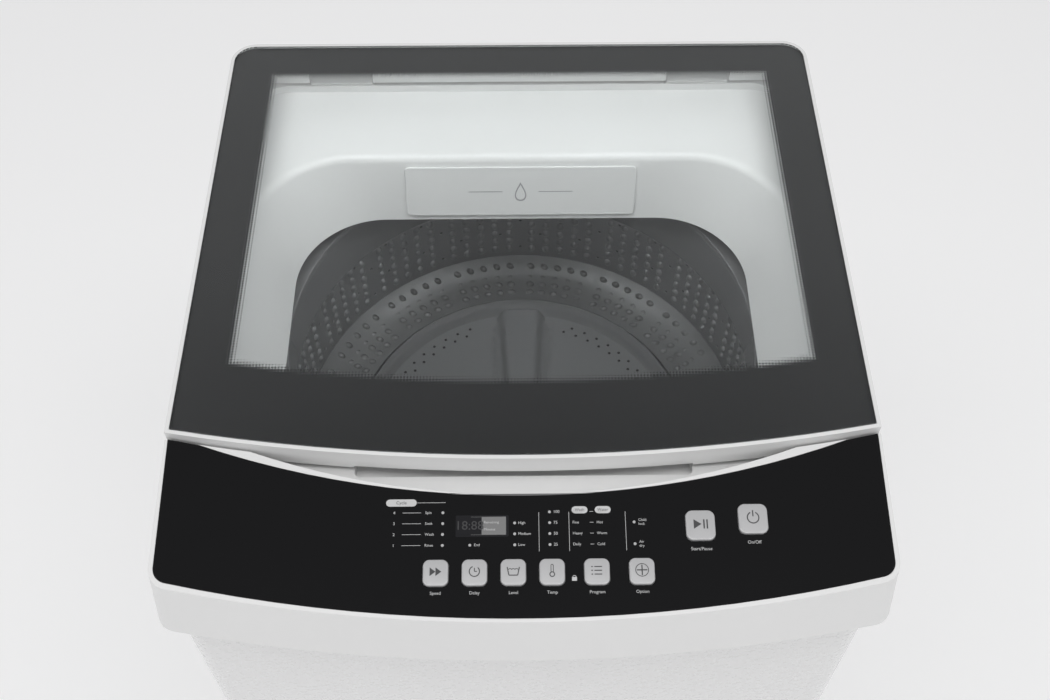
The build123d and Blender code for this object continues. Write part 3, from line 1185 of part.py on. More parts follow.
SPIGOT_END = BACK - 3.0
with BuildPart() as drain_elbow:
    # bent pipe from the hose to the outlet in the rear recess
    with BuildLine():
        bend = FilletPolyline((DRAIN_X, DRAIN_HOLE_Y, ELBOW_TOP), (DRAIN_X, DRAIN_HOLE_Y, DRAIN_Z),
                              (DRAIN_X, SPIGOT_END, DRAIN_Z), radius=24)
    with BuildSketch(Plane(bend @ 0, z_dir=bend % 0)):
        Circle(DRAIN_RADIUS - 1)
        Circle(DRAIN_RADIUS - 4, mode=Mode.SUBTRACT)
    sweep(path=bend)
    # collar against the recess and a ridge that keeps a hose on
    with BuildSketch(Plane.XZ.offset(-(CAB_BACK - DRAIN_RECESS))):
        with Locations((DRAIN_X, DRAIN_Z)):
            Circle(DRAIN_RADIUS + 7)
            Circle(DRAIN_RADIUS - 2, mode=Mode.SUBTRACT)
    extrude(amount=4)
    with BuildSketch(Plane.XZ.offset(-(SPIGOT_END - 6))):
        with Locations((DRAIN_X, DRAIN_Z)):
            Circle(DRAIN_RADIUS)
            Circle(DRAIN_RADIUS - 2, mode=Mode.SUBTRACT)
    extrude(amount=-3)
save(drain_elbow, "drain_elbow")

# ---------------------------------------------------------------- electrics
with BuildPart() as electrical_parts:
    # pressure sensor under the cover
    with Locations((-(INLET_BOX_HALF + 40), CAB_BACK - 46, UNDERSIDE_Z - 20)):
        Cylinder(22, 20, align=(Align.CENTER, Align.CENTER, Align.MIN))
        Cylinder(4, 34, align=(Align.CENTER, Align.CENTER, Align.MAX))
    # run capacitor on the base
    with Locations((CAB_HALF - STEEL - 22, AXIS_Y, BASE_TOP)):
        Cylinder(20, 80, align=(Align.CENTER, Align.CENTER, Align.MIN))
save(electrical_parts, "electrical_parts")
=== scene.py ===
# %% [markdown]
# # A top load washing machine
# The imported model is the fixed frame: every node, joint and size comes from it, in metres,
# with +Z up and the control panel towards -Y.

# %% Load the frame
import bpy
import bmesh
import json
import math
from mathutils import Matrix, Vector


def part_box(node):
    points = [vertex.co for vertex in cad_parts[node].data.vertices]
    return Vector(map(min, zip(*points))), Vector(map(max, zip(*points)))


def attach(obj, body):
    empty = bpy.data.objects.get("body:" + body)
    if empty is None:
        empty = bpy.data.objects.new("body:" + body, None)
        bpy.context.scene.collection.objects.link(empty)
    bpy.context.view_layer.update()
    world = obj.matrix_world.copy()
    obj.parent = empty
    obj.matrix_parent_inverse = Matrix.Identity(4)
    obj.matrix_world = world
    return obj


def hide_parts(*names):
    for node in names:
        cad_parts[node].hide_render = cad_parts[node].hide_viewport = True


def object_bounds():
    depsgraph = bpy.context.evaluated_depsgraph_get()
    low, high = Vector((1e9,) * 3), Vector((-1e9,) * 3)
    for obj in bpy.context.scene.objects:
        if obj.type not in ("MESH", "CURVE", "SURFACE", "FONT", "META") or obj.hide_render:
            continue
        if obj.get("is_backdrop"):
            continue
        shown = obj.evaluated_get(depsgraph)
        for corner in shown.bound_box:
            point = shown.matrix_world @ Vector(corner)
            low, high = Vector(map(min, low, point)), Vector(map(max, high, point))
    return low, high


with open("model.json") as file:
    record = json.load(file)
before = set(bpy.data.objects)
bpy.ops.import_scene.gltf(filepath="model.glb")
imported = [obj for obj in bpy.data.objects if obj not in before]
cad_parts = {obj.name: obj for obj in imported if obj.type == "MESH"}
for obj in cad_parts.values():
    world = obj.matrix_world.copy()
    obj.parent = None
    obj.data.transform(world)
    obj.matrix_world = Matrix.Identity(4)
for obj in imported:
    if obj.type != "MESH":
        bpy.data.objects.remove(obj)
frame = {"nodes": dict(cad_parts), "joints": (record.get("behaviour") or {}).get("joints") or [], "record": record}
nodes = frame["nodes"]
joints = {joint["name"]: joint for joint in frame["joints"]}
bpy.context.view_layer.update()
MM = 0.001

# %% [markdown]
# ## Landmarks
# The lid, the panel and the tub's axis are read from the frame. The panel is a tilted plane,
# and the travel of any button is square to it, so that joint gives the tilt.

# %% Landmarks
glass_low, glass_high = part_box("lid_glass")
frame_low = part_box("lid_frame")[0]
fascia_low, fascia_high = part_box("control_fascia")
press = Vector(joints["press_speed"]["axis"]).normalized()
PANEL_NORMAL = -press
PANEL_UP = PANEL_NORMAL.cross(Vector((1, 0, 0))).normalized()


def panel_rise(node):
    """How far a node's mesh reaches along the panel's normal."""
    return max((node.matrix_world @ vertex.co).dot(PANEL_NORMAL) for vertex in node.data.vertices)


fascia_rise = panel_rise(nodes["control_fascia"])
PANEL_ORIGIN = Vector((0, fascia_high.y, fascia_high.z))
PANEL_ORIGIN += PANEL_NORMAL * (fascia_rise - PANEL_ORIGIN.dot(PANEL_NORMAL))
AXIS = Vector(joints["basket_spin"]["pos_m"])
LID_TOP = glass_high.z
BUTTONS = ("speed", "delay", "level", "temperature", "programme", "option", "start", "power")


def up_panel(y):
    """Distance up the panel, from its origin, of a place given by y."""
    return (y - PANEL_ORIGIN.y) / PANEL_UP.y


print("panel tilt:", round(math.degrees(math.asin(-PANEL_NORMAL.y)), 2), "degrees")

# %% [markdown]
# ## Camera, floor and light
# The machine is seen from above its front edge, looking steeply down through the lid. A pale
# floor and a pale, graded sky stand in for a studio. The sky is darker overhead, because the
# gloss of the panel mirrors that part, and brighter towards the horizon.

# %% Camera
camera_data = bpy.data.cameras.new("camera")
camera_data.lens = 43.05
camera_data.sensor_width = 36.0
camera_data.clip_start = 0.01
camera = bpy.data.objects.new("camera", camera_data)
bpy.context.scene.collection.objects.link(camera)
camera.location = (-0.0034, glass_low.y - 0.4478, LID_TOP + 0.7685)
camera.rotation_euler = (math.radians(35.0), 0.0, math.radians(-0.56))
bpy.context.scene.camera = camera

# %% Floor and sky
floor_mesh = bpy.data.meshes.new("floor")
floor_mesh.from_pydata([(-30, -30, 0), (30, -30, 0), (30, 30, 0), (-30, 30, 0)], [], [(0, 1, 2, 3)])
floor = bpy.data.objects.new("floor", floor_mesh)
bpy.context.scene.collection.objects.link(floor)
floor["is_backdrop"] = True
floor_material = bpy.data.materials.new("floor_paper")
floor_material.use_nodes = True
floor_shader = floor_material.node_tree.nodes["Principled BSDF"]
floor_shader.inputs["Base Color"].default_value = (0.93, 0.93, 0.93, 1)
floor_shader.inputs["Roughness"].default_value = 0.9
floor_shader.inputs["Emission Color"].default_value = (1.0, 1.0, 1.0, 1)
floor_shader.inputs["Emission Strength"].default_value = 0.14
floor_mesh.materials.append(floor_material)

world = bpy.data.worlds.new("studio")
bpy.context.scene.world = world
world.use_nodes = True
sky = world.node_tree
background = sky.nodes["Background"]
direction = sky.nodes.new("ShaderNodeTexCoord")
split_axes = sky.nodes.new("ShaderNodeSeparateXYZ")
grade = sky.nodes.new("ShaderNodeValToRGB")
grade.color_ramp.elements[0].position = 0.0
grade.color_ramp.elements[1].position = 1.0
for height, level in ((0.55, 0.74), (0.76, 0.66), (0.90, 0.22)):
    grade.color_ramp.elements.new(height).color = (level, level, level * 1.01, 1)
grade.color_ramp.elements[0].color = (0.64, 0.64, 0.645, 1)
grade.color_ramp.elements[-1].color = (0.22, 0.22, 0.225, 1)
sky.links.new(direction.outputs["Generated"], split_axes.inputs[0])
sky.links.new(split_axes.outputs["Z"], grade.inputs["Fac"])
sky.links.new(grade.outputs["Color"], background.inputs["Color"])
background.inputs["Strength"].default_value = 1.0


def softbox(name, place, target, size, power, glossy=True):
    """An area light that looks at a target."""
    data = bpy.data.lights.new(name, "AREA")
    data.shape = "RECTANGLE"
    data.size, data.size_y = size
    data.energy = power
    lamp = bpy.data.objects.new(name, data)
    bpy.context.scene.collection.objects.link(lamp)
    lamp.location = place
    lamp.rotation_euler = (Vector(target) - Vector(place)).to_track_quat("-Z", "Y").to_euler()
    lamp.visible_glossy = glossy
    return lamp


softbox("overhead", (0, -0.72, 3.4), (0, -0.2, 0.8), (3.4, 0.9), 35)
softbox("front_fill", (0.4, -3.2, 1.4), (0, 0, 0.7), (2.6, 1.6), 2, glossy=False)
bpy.context.scene.view_settings.view_transform = "Standard"

# %% [markdown]
# ## Shared surface effects
# Two effects turn up on many finishes, so each is a node group built once. The first is the
# fine grain of a moulding or of brushed sheet, stretched along one axis where it is asked to.
# The second is a slow, cloudy change that keeps a large plain wall from looking flat.

# %% Shader groups
def new_group(name, inputs, outputs):
    """A shader node group with named number, colour and vector sockets."""
    group = bpy.data.node_groups.new(name, "ShaderNodeTree")
    for label, kind, value in inputs:
        socket = group.interface.new_socket(label, in_out="INPUT", socket_type=kind)
        if value is not None:
            socket.default_value = value
    for label, kind in outputs:
        group.interface.new_socket(label, in_out="OUTPUT", socket_type=kind)
    return group, group.nodes.new("NodeGroupInput"), group.nodes.new("NodeGroupOutput")


def fine_grain_group():
    """Grain: a bump height and a roughness that varies with it."""
    group, entry, leave = new_group(
        "fine_grain",
        [("Scale", "NodeSocketFloat", 900.0), ("Stretch", "NodeSocketVector", (1, 1, 1)),
         ("Roughness", "NodeSocketFloat", 0.4), ("Spread", "NodeSocketFloat", 0.08)],
        [("Height", "NodeSocketFloat"), ("Roughness", "NodeSocketFloat")],
    )
    place = group.nodes.new("ShaderNodeTexCoord")
    stretch = group.nodes.new("ShaderNodeVectorMath")
    stretch.operation = "MULTIPLY"
    noise = group.nodes.new("ShaderNodeTexNoise")
    noise.inputs["Detail"].default_value = 3.0
    centre = group.nodes.new("ShaderNodeMath")
    centre.operation = "SUBTRACT"
    centre.inputs[1].default_value = 0.5
    spread = group.nodes.new("ShaderNodeMath")
    spread.operation = "MULTIPLY_ADD"
    link = group.links.new
    link(place.outputs["Object"], stretch.inputs[0])
    link(entry.outputs["Stretch"], stretch.inputs[1])
    link(stretch.outputs["Vector"], noise.inputs["Vector"])
    link(entry.outputs["Scale"], noise.inputs["Scale"])
    link(noise.outputs["Fac"], leave.inputs["Height"])
    link(noise.outputs["Fac"], centre.inputs[0])
    link(centre.outputs[0], spread.inputs[0])
    link(entry.outputs["Spread"], spread.inputs[1])
    link(entry.outputs["Roughness"], spread.inputs[2])
    link(spread.outputs[0], leave.inputs["Roughness"])
    return group


def cloudy_tone_group():
    """A slow change of tone between two colours."""
    group, entry, leave = new_group(
        "cloudy_tone",
        [("Light", "NodeSocketColor", (0.8, 0.8, 0.8, 1)), ("Dark", "NodeSocketColor", (0.7, 0.7, 0.7, 1)),
         ("Scale", "NodeSocketFloat", 7.0)],
        [("Color", "NodeSocketColor")],
    )
    place = group.nodes.new("ShaderNodeTexCoord")
    noise = group.nodes.new("ShaderNodeTexNoise")
    noise.inputs["Detail"].default_value = 4.0
    mix = group.nodes.new("ShaderNodeMix")
    mix.data_type = "RGBA"
    link = group.links.new
    link(place.outputs["Object"], noise.inputs["Vector"])
    link(entry.outputs["Scale"], noise.inputs["Scale"])
    link(noise.outputs["Fac"], mix.inputs["Factor"])
    link(entry.outputs["Light"], mix.inputs["A"])
    link(entry.outputs["Dark"], mix.inputs["B"])
    link(mix.outputs["Result"], leave.inputs["Color"])
    return group


FINE_GRAIN = fine_grain_group()
CLOUDY_TONE = cloudy_tone_group()
print("groups:", FINE_GRAIN.name, CLOUDY_TONE.name)

# %% [markdown]
# ## Finishes
# One function makes an everyday finish from the two groups: a tone, a grain, and a bump so
# fine that it only breaks up the highlights. Coats, metals and glass then add what is theirs.

# %% Finishes
def finish(name, light, dark, rough, metal=0.0, grain=900.0, stretch=(1, 1, 1), bump=0.02,
           coat=0.0, spread=0.08):
    """A material with a cloudy tone, a fine grain and a matching bump."""
    material = bpy.data.materials.new(name)
    material.use_nodes = True
    tree = material.node_tree
    shader = tree.nodes["Principled BSDF"]
    tone = tree.nodes.new("ShaderNodeGroup")
    tone.node_tree = CLOUDY_TONE
    tone.inputs["Light"].default_value = (*light, 1)
    tone.inputs["Dark"].default_value = (*dark, 1)
    texture = tree.nodes.new("ShaderNodeGroup")
    texture.node_tree = FINE_GRAIN
    texture.inputs["Scale"].default_value = grain
    texture.inputs["Stretch"].default_value = stretch
    texture.inputs["Roughness"].default_value = rough
    texture.inputs["Spread"].default_value = spread
    relief = tree.nodes.new("ShaderNodeBump")
    relief.inputs["Strength"].default_value = bump
    relief.inputs["Distance"].default_value = 0.0004
    tree.links.new(tone.outputs["Color"], shader.inputs["Base Color"])
    tree.links.new(texture.outputs["Roughness"], shader.inputs["Roughness"])
    tree.links.new(texture.outputs["Height"], relief.inputs["Height"])
    tree.links.new(relief.outputs["Normal"], shader.inputs["Normal"])
    shader.inputs["Metallic"].default_value = metal
    shader.inputs["Coat Weight"].default_value = coat
    shader.inputs["Coat Roughness"].default_value = 0.08
    return material


WHITE = finish("white_moulding", (0.80, 0.80, 0.795), (0.76, 0.76, 0.755), 0.34,
               grain=1400, bump=0.03, coat=0.15)
ENAMEL = finish("white_enamel", (0.80, 0.80, 0.80), (0.77, 0.77, 0.765), 0.28,
                grain=260, bump=0.008, coat=0.3)
BLACK = finish("black_gloss", (0.004, 0.004, 0.0045), (0.003, 0.003, 0.0035), 0.07,
               grain=300, bump=0.0, spread=0.02)
GREY = finish("grey_moulding", (0.20, 0.20, 0.205), (0.16, 0.16, 0.165), 0.5, bump=0.06)
PALE = finish("pale_grey_moulding", (0.5, 0.5, 0.5), (0.44, 0.44, 0.445), 0.5, bump=0.06)
TUB_GREY = finish("tub_grey", (0.085, 0.085, 0.088), (0.07, 0.07, 0.073), 0.55, bump=0.05)
RING_GREY = finish("ring_grey", (0.21, 0.21, 0.213), (0.19, 0.19, 0.194), 0.20, bump=0.02, coat=0.5)
SILVER = finish("button_silver", (0.50, 0.50, 0.505), (0.46, 0.46, 0.465), 0.3,
                metal=0.15, bump=0.02, coat=0.4)
RUBBER = finish("black_rubber", (0.022, 0.022, 0.023), (0.014, 0.014, 0.015), 0.75, grain=2200, bump=0.2)
ZINC = finish("zinc_sheet", (0.50, 0.51, 0.52), (0.38, 0.39, 0.40), 0.36, metal=1.0, grain=60, bump=0.03)
STEEL = finish("turned_steel", (0.52, 0.52, 0.53), (0.42, 0.42, 0.43), 0.3,
               metal=1.0, stretch=(1, 1, 14), bump=0.05)
DRUM = finish("drum_steel", (0.36, 0.36, 0.362), (0.30, 0.30, 0.302), 0.33, metal=0.5, stretch=(1, 1, 10),
              grain=420, bump=0.05)
# The bowl's steel is darker than the wall's: painted shade at the bottom of the basket, where less light falls.
SHADED_BOWL_STEEL = finish("bowl_steel_painted_shade", (0.20, 0.20, 0.202), (0.17, 0.17, 0.172), 0.34, metal=0.4, bump=0.04)
PULSE = finish("pulsator_grey", (0.17, 0.17, 0.172), (0.15, 0.15, 0.152), 0.24, bump=0.02, coat=0.4)
ALLOY = finish("cast_alloy", (0.48, 0.48, 0.49), (0.36, 0.36, 0.37), 0.5, metal=1.0, grain=240, bump=0.25)
DARK = finish("dark_moulding", (0.06, 0.06, 0.065), (0.045, 0.045, 0.05), 0.5, bump=0.08)
CHROME = finish("bright_plate", (0.62, 0.62, 0.63), (0.56, 0.56, 0.57), 0.12, metal=1.0, bump=0.0)
BOARD = finish("solder_resist", (0.02, 0.13, 0.05), (0.015, 0.09, 0.035), 0.4, bump=0.05)
SMOKED = finish("smoked_window", (0.016, 0.016, 0.018), (0.012, 0.012, 0.014), 0.08, bump=0.0, spread=0.02)
LAMP = finish("lamp_guide", (0.50, 0.50, 0.50), (0.42, 0.42, 0.42), 0.3, bump=0.0)
INK = finish("panel_ink", (0.60, 0.60, 0.60), (0.54, 0.54, 0.54), 0.5, bump=0.0)
DIM_INK = finish("faint_ink", (0.20, 0.20, 0.20), (0.17, 0.17, 0.17), 0.5, bump=0.0)
DARK_INK = finish("dark_ink", (0.05, 0.05, 0.052), (0.04, 0.04, 0.042), 0.5, bump=0.0)

# %% Put the finishes on the frame's nodes
FINISH_OF_SLOT = {
    "white_plastic": WHITE, "panel_black": BLACK, "display_dark": SMOKED, "grey_plastic": GREY,
    "lamp_red": LAMP, "board_green": BOARD, "steel_white": ENAMEL, "zinc_steel": ZINC,
    "bare_steel": STEEL, "drum_steel": DRUM, "black_rubber": RUBBER, "button_grey": SILVER,
    "chrome_trim": CHROME, "cast_aluminium": ALLOY, "dark_plastic": DARK,
}
OWN_FINISH = {
    "outer_tub": TUB_GREY, "tub_cover": RING_GREY, "balance_ring": RING_GREY, "basket_base": SHADED_BOWL_STEEL,
    "pulsator": PULSE, "inlet_box": PALE, "rear_panel": ENAMEL,
}
slot_of = {row["node"]: row["material_slot"] for row in frame["record"]["subparts"]}
for name, node in nodes.items():
    material = OWN_FINISH.get(name) or FINISH_OF_SLOT.get(slot_of[name])
    if material:
        for slot in node.material_slots:
            slot.material = material
print("finished nodes:", len(nodes))

# %% [markdown]
# ## Softened mouldings
# Real mouldings have small radii that catch the light. The cover, the lid's frame and the
# other parts in view keep their shape, as merged copies with smooth shading, some of them
# with a narrow bevel along their sharp edges. The cover's edge round the well is wider.

# %% Softened copies
def new_piece(name, mesh, body, slot, *materials):
    """Link a mesh as a piece that rides on a body."""
    piece = bpy.data.objects.new(name, mesh)
    bpy.context.scene.collection.objects.link(piece)
    for material in materials:
        mesh.materials.append(material)
    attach(piece, body)
    return piece


def softened(node_name, body, slot, material, width=0.0, segments=2, wide_edge=None):
    """Replace a node with a merged, smooth-shaded copy, with a narrow bevel on sharp edges when a width is given.

    wide_edge picks the edges, by their two ends, that get a wide rounded bevel first.
    """
    mesh = nodes[node_name].data.copy()
    mesh.materials.clear()
    work = bmesh.new()
    work.from_mesh(mesh)
    bmesh.ops.remove_doubles(work, verts=work.verts, dist=1e-6)
    bmesh.ops.dissolve_limit(work, angle_limit=math.radians(0.5), verts=work.verts, edges=work.edges)
    if wide_edge:
        rounded = [edge for edge in work.edges if wide_edge(*(vertex.co for vertex in edge.verts))]
        bmesh.ops.bevel(work, geom=rounded, offset=WELL_EDGE, segments=5, profile=0.5, affect="EDGES")
        print(node_name, "wide bevel on", len(rounded), "edges")
    for face in work.faces:
        face.smooth = True
        face.material_index = 0
    for edge in work.edges:
        edge.smooth = edge.calc_face_angle(0.0) < math.radians(32)
    work.to_mesh(mesh)
    work.free()
    piece = new_piece(f"{node_name}_finished", mesh, body, slot, material)
    if width > 0:
        bevel = piece.modifiers.new("edge_radius", "BEVEL")
        bevel.width = width
        bevel.segments = segments
        bevel.limit_method = "ANGLE"
        bevel.angle_limit = math.radians(50)
        bevel.harden_normals = False
        bevel.use_clamp_overlap = True
    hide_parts(node_name)
    return piece


WELL_EDGE = 0.0065
WELL_HALF = 0.2275
WELL_FRONT = -0.119
WELL_BACK = 0.163
SAME_HEIGHT = 1e-4
LID_OVER_DECK = 0.010
DECK_Z = frame_low.z - LID_OVER_DECK


def on_well_edge(first, second):
    """True for an edge on the rounded corner between the deck and the loading well."""
    return all(abs(point.z - DECK_Z) < SAME_HEIGHT and abs(point.x) < WELL_HALF
               and WELL_FRONT < point.y < WELL_BACK for point in (first, second))


softened("top_cover", "cabinet", "white_plastic", WHITE, 0.0008, wide_edge=on_well_edge)
softened("lid_frame", "lid", "white_plastic", WHITE, 0.0006)
softened("control_fascia", "cabinet", "panel_black", BLACK, 0.0004)
softened("inlet_box_cover", "cabinet", "white_plastic", WHITE, 0.0005)
for label in BUTTONS:
    softened(f"button_{label}", f"button_{label}", "button_grey", SILVER)
softened("balance_ring", "basket", "grey_plastic", RING_GREY)
softened("basket_wall", "basket", "drum_steel", DRUM)
softened("basket_base", "basket", "grey_plastic", SHADED_BOWL_STEEL)
softened("tub_cover", "tub", "grey_plastic", RING_GREY, 0.0008)
softened("outer_tub", "tub", "grey_plastic", TUB_GREY)
softened("cabinet_shell", "cabinet", "steel_white", ENAMEL)
softened("hinge_blocks", "cabinet", "white_plastic", WHITE, 0.0006)

# %% [markdown]
# ## Lid glass
# The pane is clear toughened glass. Its own piece stands a hair above the black printed
# border, so the two never share a surface. Shadow rays pass straight through, which lets the
# light reach the well and the basket as it does through real glass.

# %% Outline of a bowed plate
def made_mesh(name, work):
    """Write an edit mesh into a new mesh and free it."""
    mesh = bpy.data.meshes.new(name)
    work.to_mesh(mesh)
    work.free()
    return mesh


def bowed_outline(low, high, bow, back_radius, front_radius=0.002, steps=48):
    """Corner-rounded outline of a plate whose front edge bows forward by a rise."""
    half = high.x
    front_corner = low.y + bow
    front_turn, front_steps, back_steps = 70, 6, 8
    points = []
    for step in range(steps + 1):
        x = -half + front_radius + (2 * half - 2 * front_radius) * step / steps
        points.append((x, low.y + bow * (x / half) ** 2))
    for turn in range(front_steps + 1):
        angle = math.radians(-front_turn + front_turn * turn / front_steps)
        points.append((half - front_radius + front_radius * math.cos(angle),
                       front_corner + front_radius + front_radius * math.sin(angle)))
    for centre_x, start in ((half - back_radius, 0), (-half + back_radius, 90)):
        for turn in range(back_steps + 1):
            angle = math.radians(start + 90 * turn / back_steps)
            points.append((centre_x + back_radius * math.cos(angle),
                           high.y - back_radius + back_radius * math.sin(angle)))
    for turn in range(front_steps + 1):
        angle = math.radians(180 + front_turn * turn / front_steps)
        points.append((-half + front_radius + front_radius * math.cos(angle),
                       front_corner + front_radius + front_radius * math.sin(angle)))
    return points


def plate(name, outline, bottom, top):
    """A closed slab from a flat outline."""
    work = bmesh.new()
    lower = [work.verts.new((x, y, bottom)) for x, y in outline]
    upper = [work.verts.new((x, y, top)) for x, y in outline]
    work.faces.new(lower[::-1])
    work.faces.new(upper)
    count = len(outline)
    for index in range(count):
        following = (index + 1) % count
        work.faces.new((lower[index], lower[following], upper[following], upper[index]))
    bmesh.ops.recalc_face_normals(work, faces=work.faces)
    return made_mesh(name, work)


# %% Glass
GLASS = bpy.data.materials.new("lid_glass_clear")
GLASS.use_nodes = True
glass_tree = GLASS.node_tree
glass_shader = glass_tree.nodes["Principled BSDF"]
glass_shader.inputs["Base Color"].default_value = (0.93, 0.95, 0.95, 1)
glass_shader.inputs["Roughness"].default_value = 0.01
glass_shader.inputs["Transmission Weight"].default_value = 1.0
glass_shader.inputs["IOR"].default_value = 1.32
see_through = glass_tree.nodes.new("ShaderNodeBsdfTransparent")
see_through.inputs["Color"].default_value = (0.90, 0.91, 0.91, 1)
ray_kind = glass_tree.nodes.new("ShaderNodeLightPath")
blend_rays = glass_tree.nodes.new("ShaderNodeMixShader")
glass_output = glass_tree.nodes["Material Output"]
glass_tree.links.new(ray_kind.outputs["Is Shadow Ray"], blend_rays.inputs["Fac"])
glass_tree.links.new(glass_shader.outputs["BSDF"], blend_rays.inputs[1])
glass_tree.links.new(see_through.outputs["BSDF"], blend_rays.inputs[2])
glass_tree.links.new(blend_rays.outputs["Shader"], glass_output.inputs["Surface"])

LID_BOW = 23.5 * MM
LID_CORNER = 18 * MM
PANE_LIFT = 0.0004
PRINT_BOTTOM = 0.0001
PRINT_TOP = 0.0002
glass_outline = bowed_outline(glass_low, glass_high, LID_BOW, LID_CORNER)
pane_mesh = plate("lid_pane", glass_outline, glass_low.z + PANE_LIFT, glass_high.z)
pane = new_piece("lid_pane", pane_mesh, "lid", "lid_glass", GLASS)
pane_edge = pane.modifiers.new("ground_edge", "BEVEL")
pane_edge.width = 0.0008
pane_edge.segments = 2
pane_edge.limit_method = "ANGLE"
pane_edge.angle_limit = math.radians(60)
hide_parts("lid_glass")

# %% [markdown]
# ## Printed border
# The border under the glass is a black enamel print that breaks up into small dots before
# the clear window begins. The material measures how far a point lies outside the window and
# shrinks a grid of dots across a narrow band just inside it.

# %% Border print
WINDOW_HALF = 222.5 * MM
WINDOW_BACK = glass_high.y - 30 * MM
WINDOW_FRONT = glass_low.y + 59 * MM
WINDOW_BOW = 20 * MM
DOT_PITCH = 2.4 * MM
FADE = 11 * MM
FULL_DOT = 0.75

PRINT = finish("border_print", (0.0045, 0.0045, 0.005), (0.0035, 0.0035, 0.004), 0.3,
               bump=0.0, spread=0.02)
print_tree = PRINT.node_tree


def calculate(operation, first, second=None):
    """A math node on two values, either of which may be a number or a socket."""
    node = print_tree.nodes.new("ShaderNodeMath")
    node.operation = operation
    for socket, value in zip(node.inputs, (first, second)):
        if value is None:
            continue
        if isinstance(value, (int, float)):
            socket.default_value = value
        else:
            print_tree.links.new(value, socket)
    return node.outputs[0]


place = print_tree.nodes.new("ShaderNodeTexCoord")
parts = print_tree.nodes.new("ShaderNodeSeparateXYZ")
print_tree.links.new(place.outputs["Object"], parts.inputs[0])
across = parts.outputs["X"]
along = parts.outputs["Y"]
beyond_side = calculate("SUBTRACT", calculate("ABSOLUTE", across), WINDOW_HALF)
beyond_back = calculate("SUBTRACT", along, WINDOW_BACK)
bow_share = calculate("POWER", calculate("DIVIDE", calculate("ABSOLUTE", across), WINDOW_HALF), 2.0)
curve = calculate("MULTIPLY", bow_share, WINDOW_BOW)
beyond_front = calculate("SUBTRACT", calculate("ADD", curve, WINDOW_FRONT), along)
outside = calculate("MAXIMUM", calculate("MAXIMUM", beyond_side, beyond_back), beyond_front)
share = calculate("DIVIDE", calculate("ADD", outside, FADE), FADE)
cell_x = calculate("SUBTRACT", calculate("FRACT", calculate("DIVIDE", across, DOT_PITCH)), 0.5)
cell_y = calculate("SUBTRACT", calculate("FRACT", calculate("DIVIDE", along, DOT_PITCH)), 0.5)
square_x = calculate("MULTIPLY", cell_x, cell_x)
square_y = calculate("MULTIPLY", cell_y, cell_y)
from_dot = calculate("SQRT", calculate("ADD", square_x, square_y))
dot_size = calculate("MULTIPLY", share, FULL_DOT)
covered = calculate("LESS_THAN", from_dot, dot_size)
print_tree.links.new(covered, print_tree.nodes["Principled BSDF"].inputs["Alpha"])

border_mesh = plate("lid_border", glass_outline, glass_low.z + PRINT_BOTTOM, glass_low.z + PRINT_TOP)
new_piece("lid_border", border_mesh, "lid", "panel_black", PRINT)
print("border:", [round(v, 4) for v in (WINDOW_HALF, WINDOW_BACK, WINDOW_FRONT)])

# %% [markdown]
# ## Panel print
# The legends are a pale ink on the black panel, a few hundredths of a millimetre thick. They
# are plain function words, numbers and strokes. Each is built flat and laid on the tilted
# panel by one function, and all marks of one ink become one piece.

# %% Marks on the panel
INK_LIFT = 0.00006
LETTER_SCALE = 1.42
button_boxes = {name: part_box(f"button_{name}") for name in BUTTONS}
button_spot = {name: (low + high) / 2 for name, (low, high) in button_boxes.items()}
FRONT = fascia_low.y
LAMP_ROW = FRONT + 0.0502
PITCH = 0.0077
ROWS = [LAMP_ROW + PITCH * step for step in range(4)]


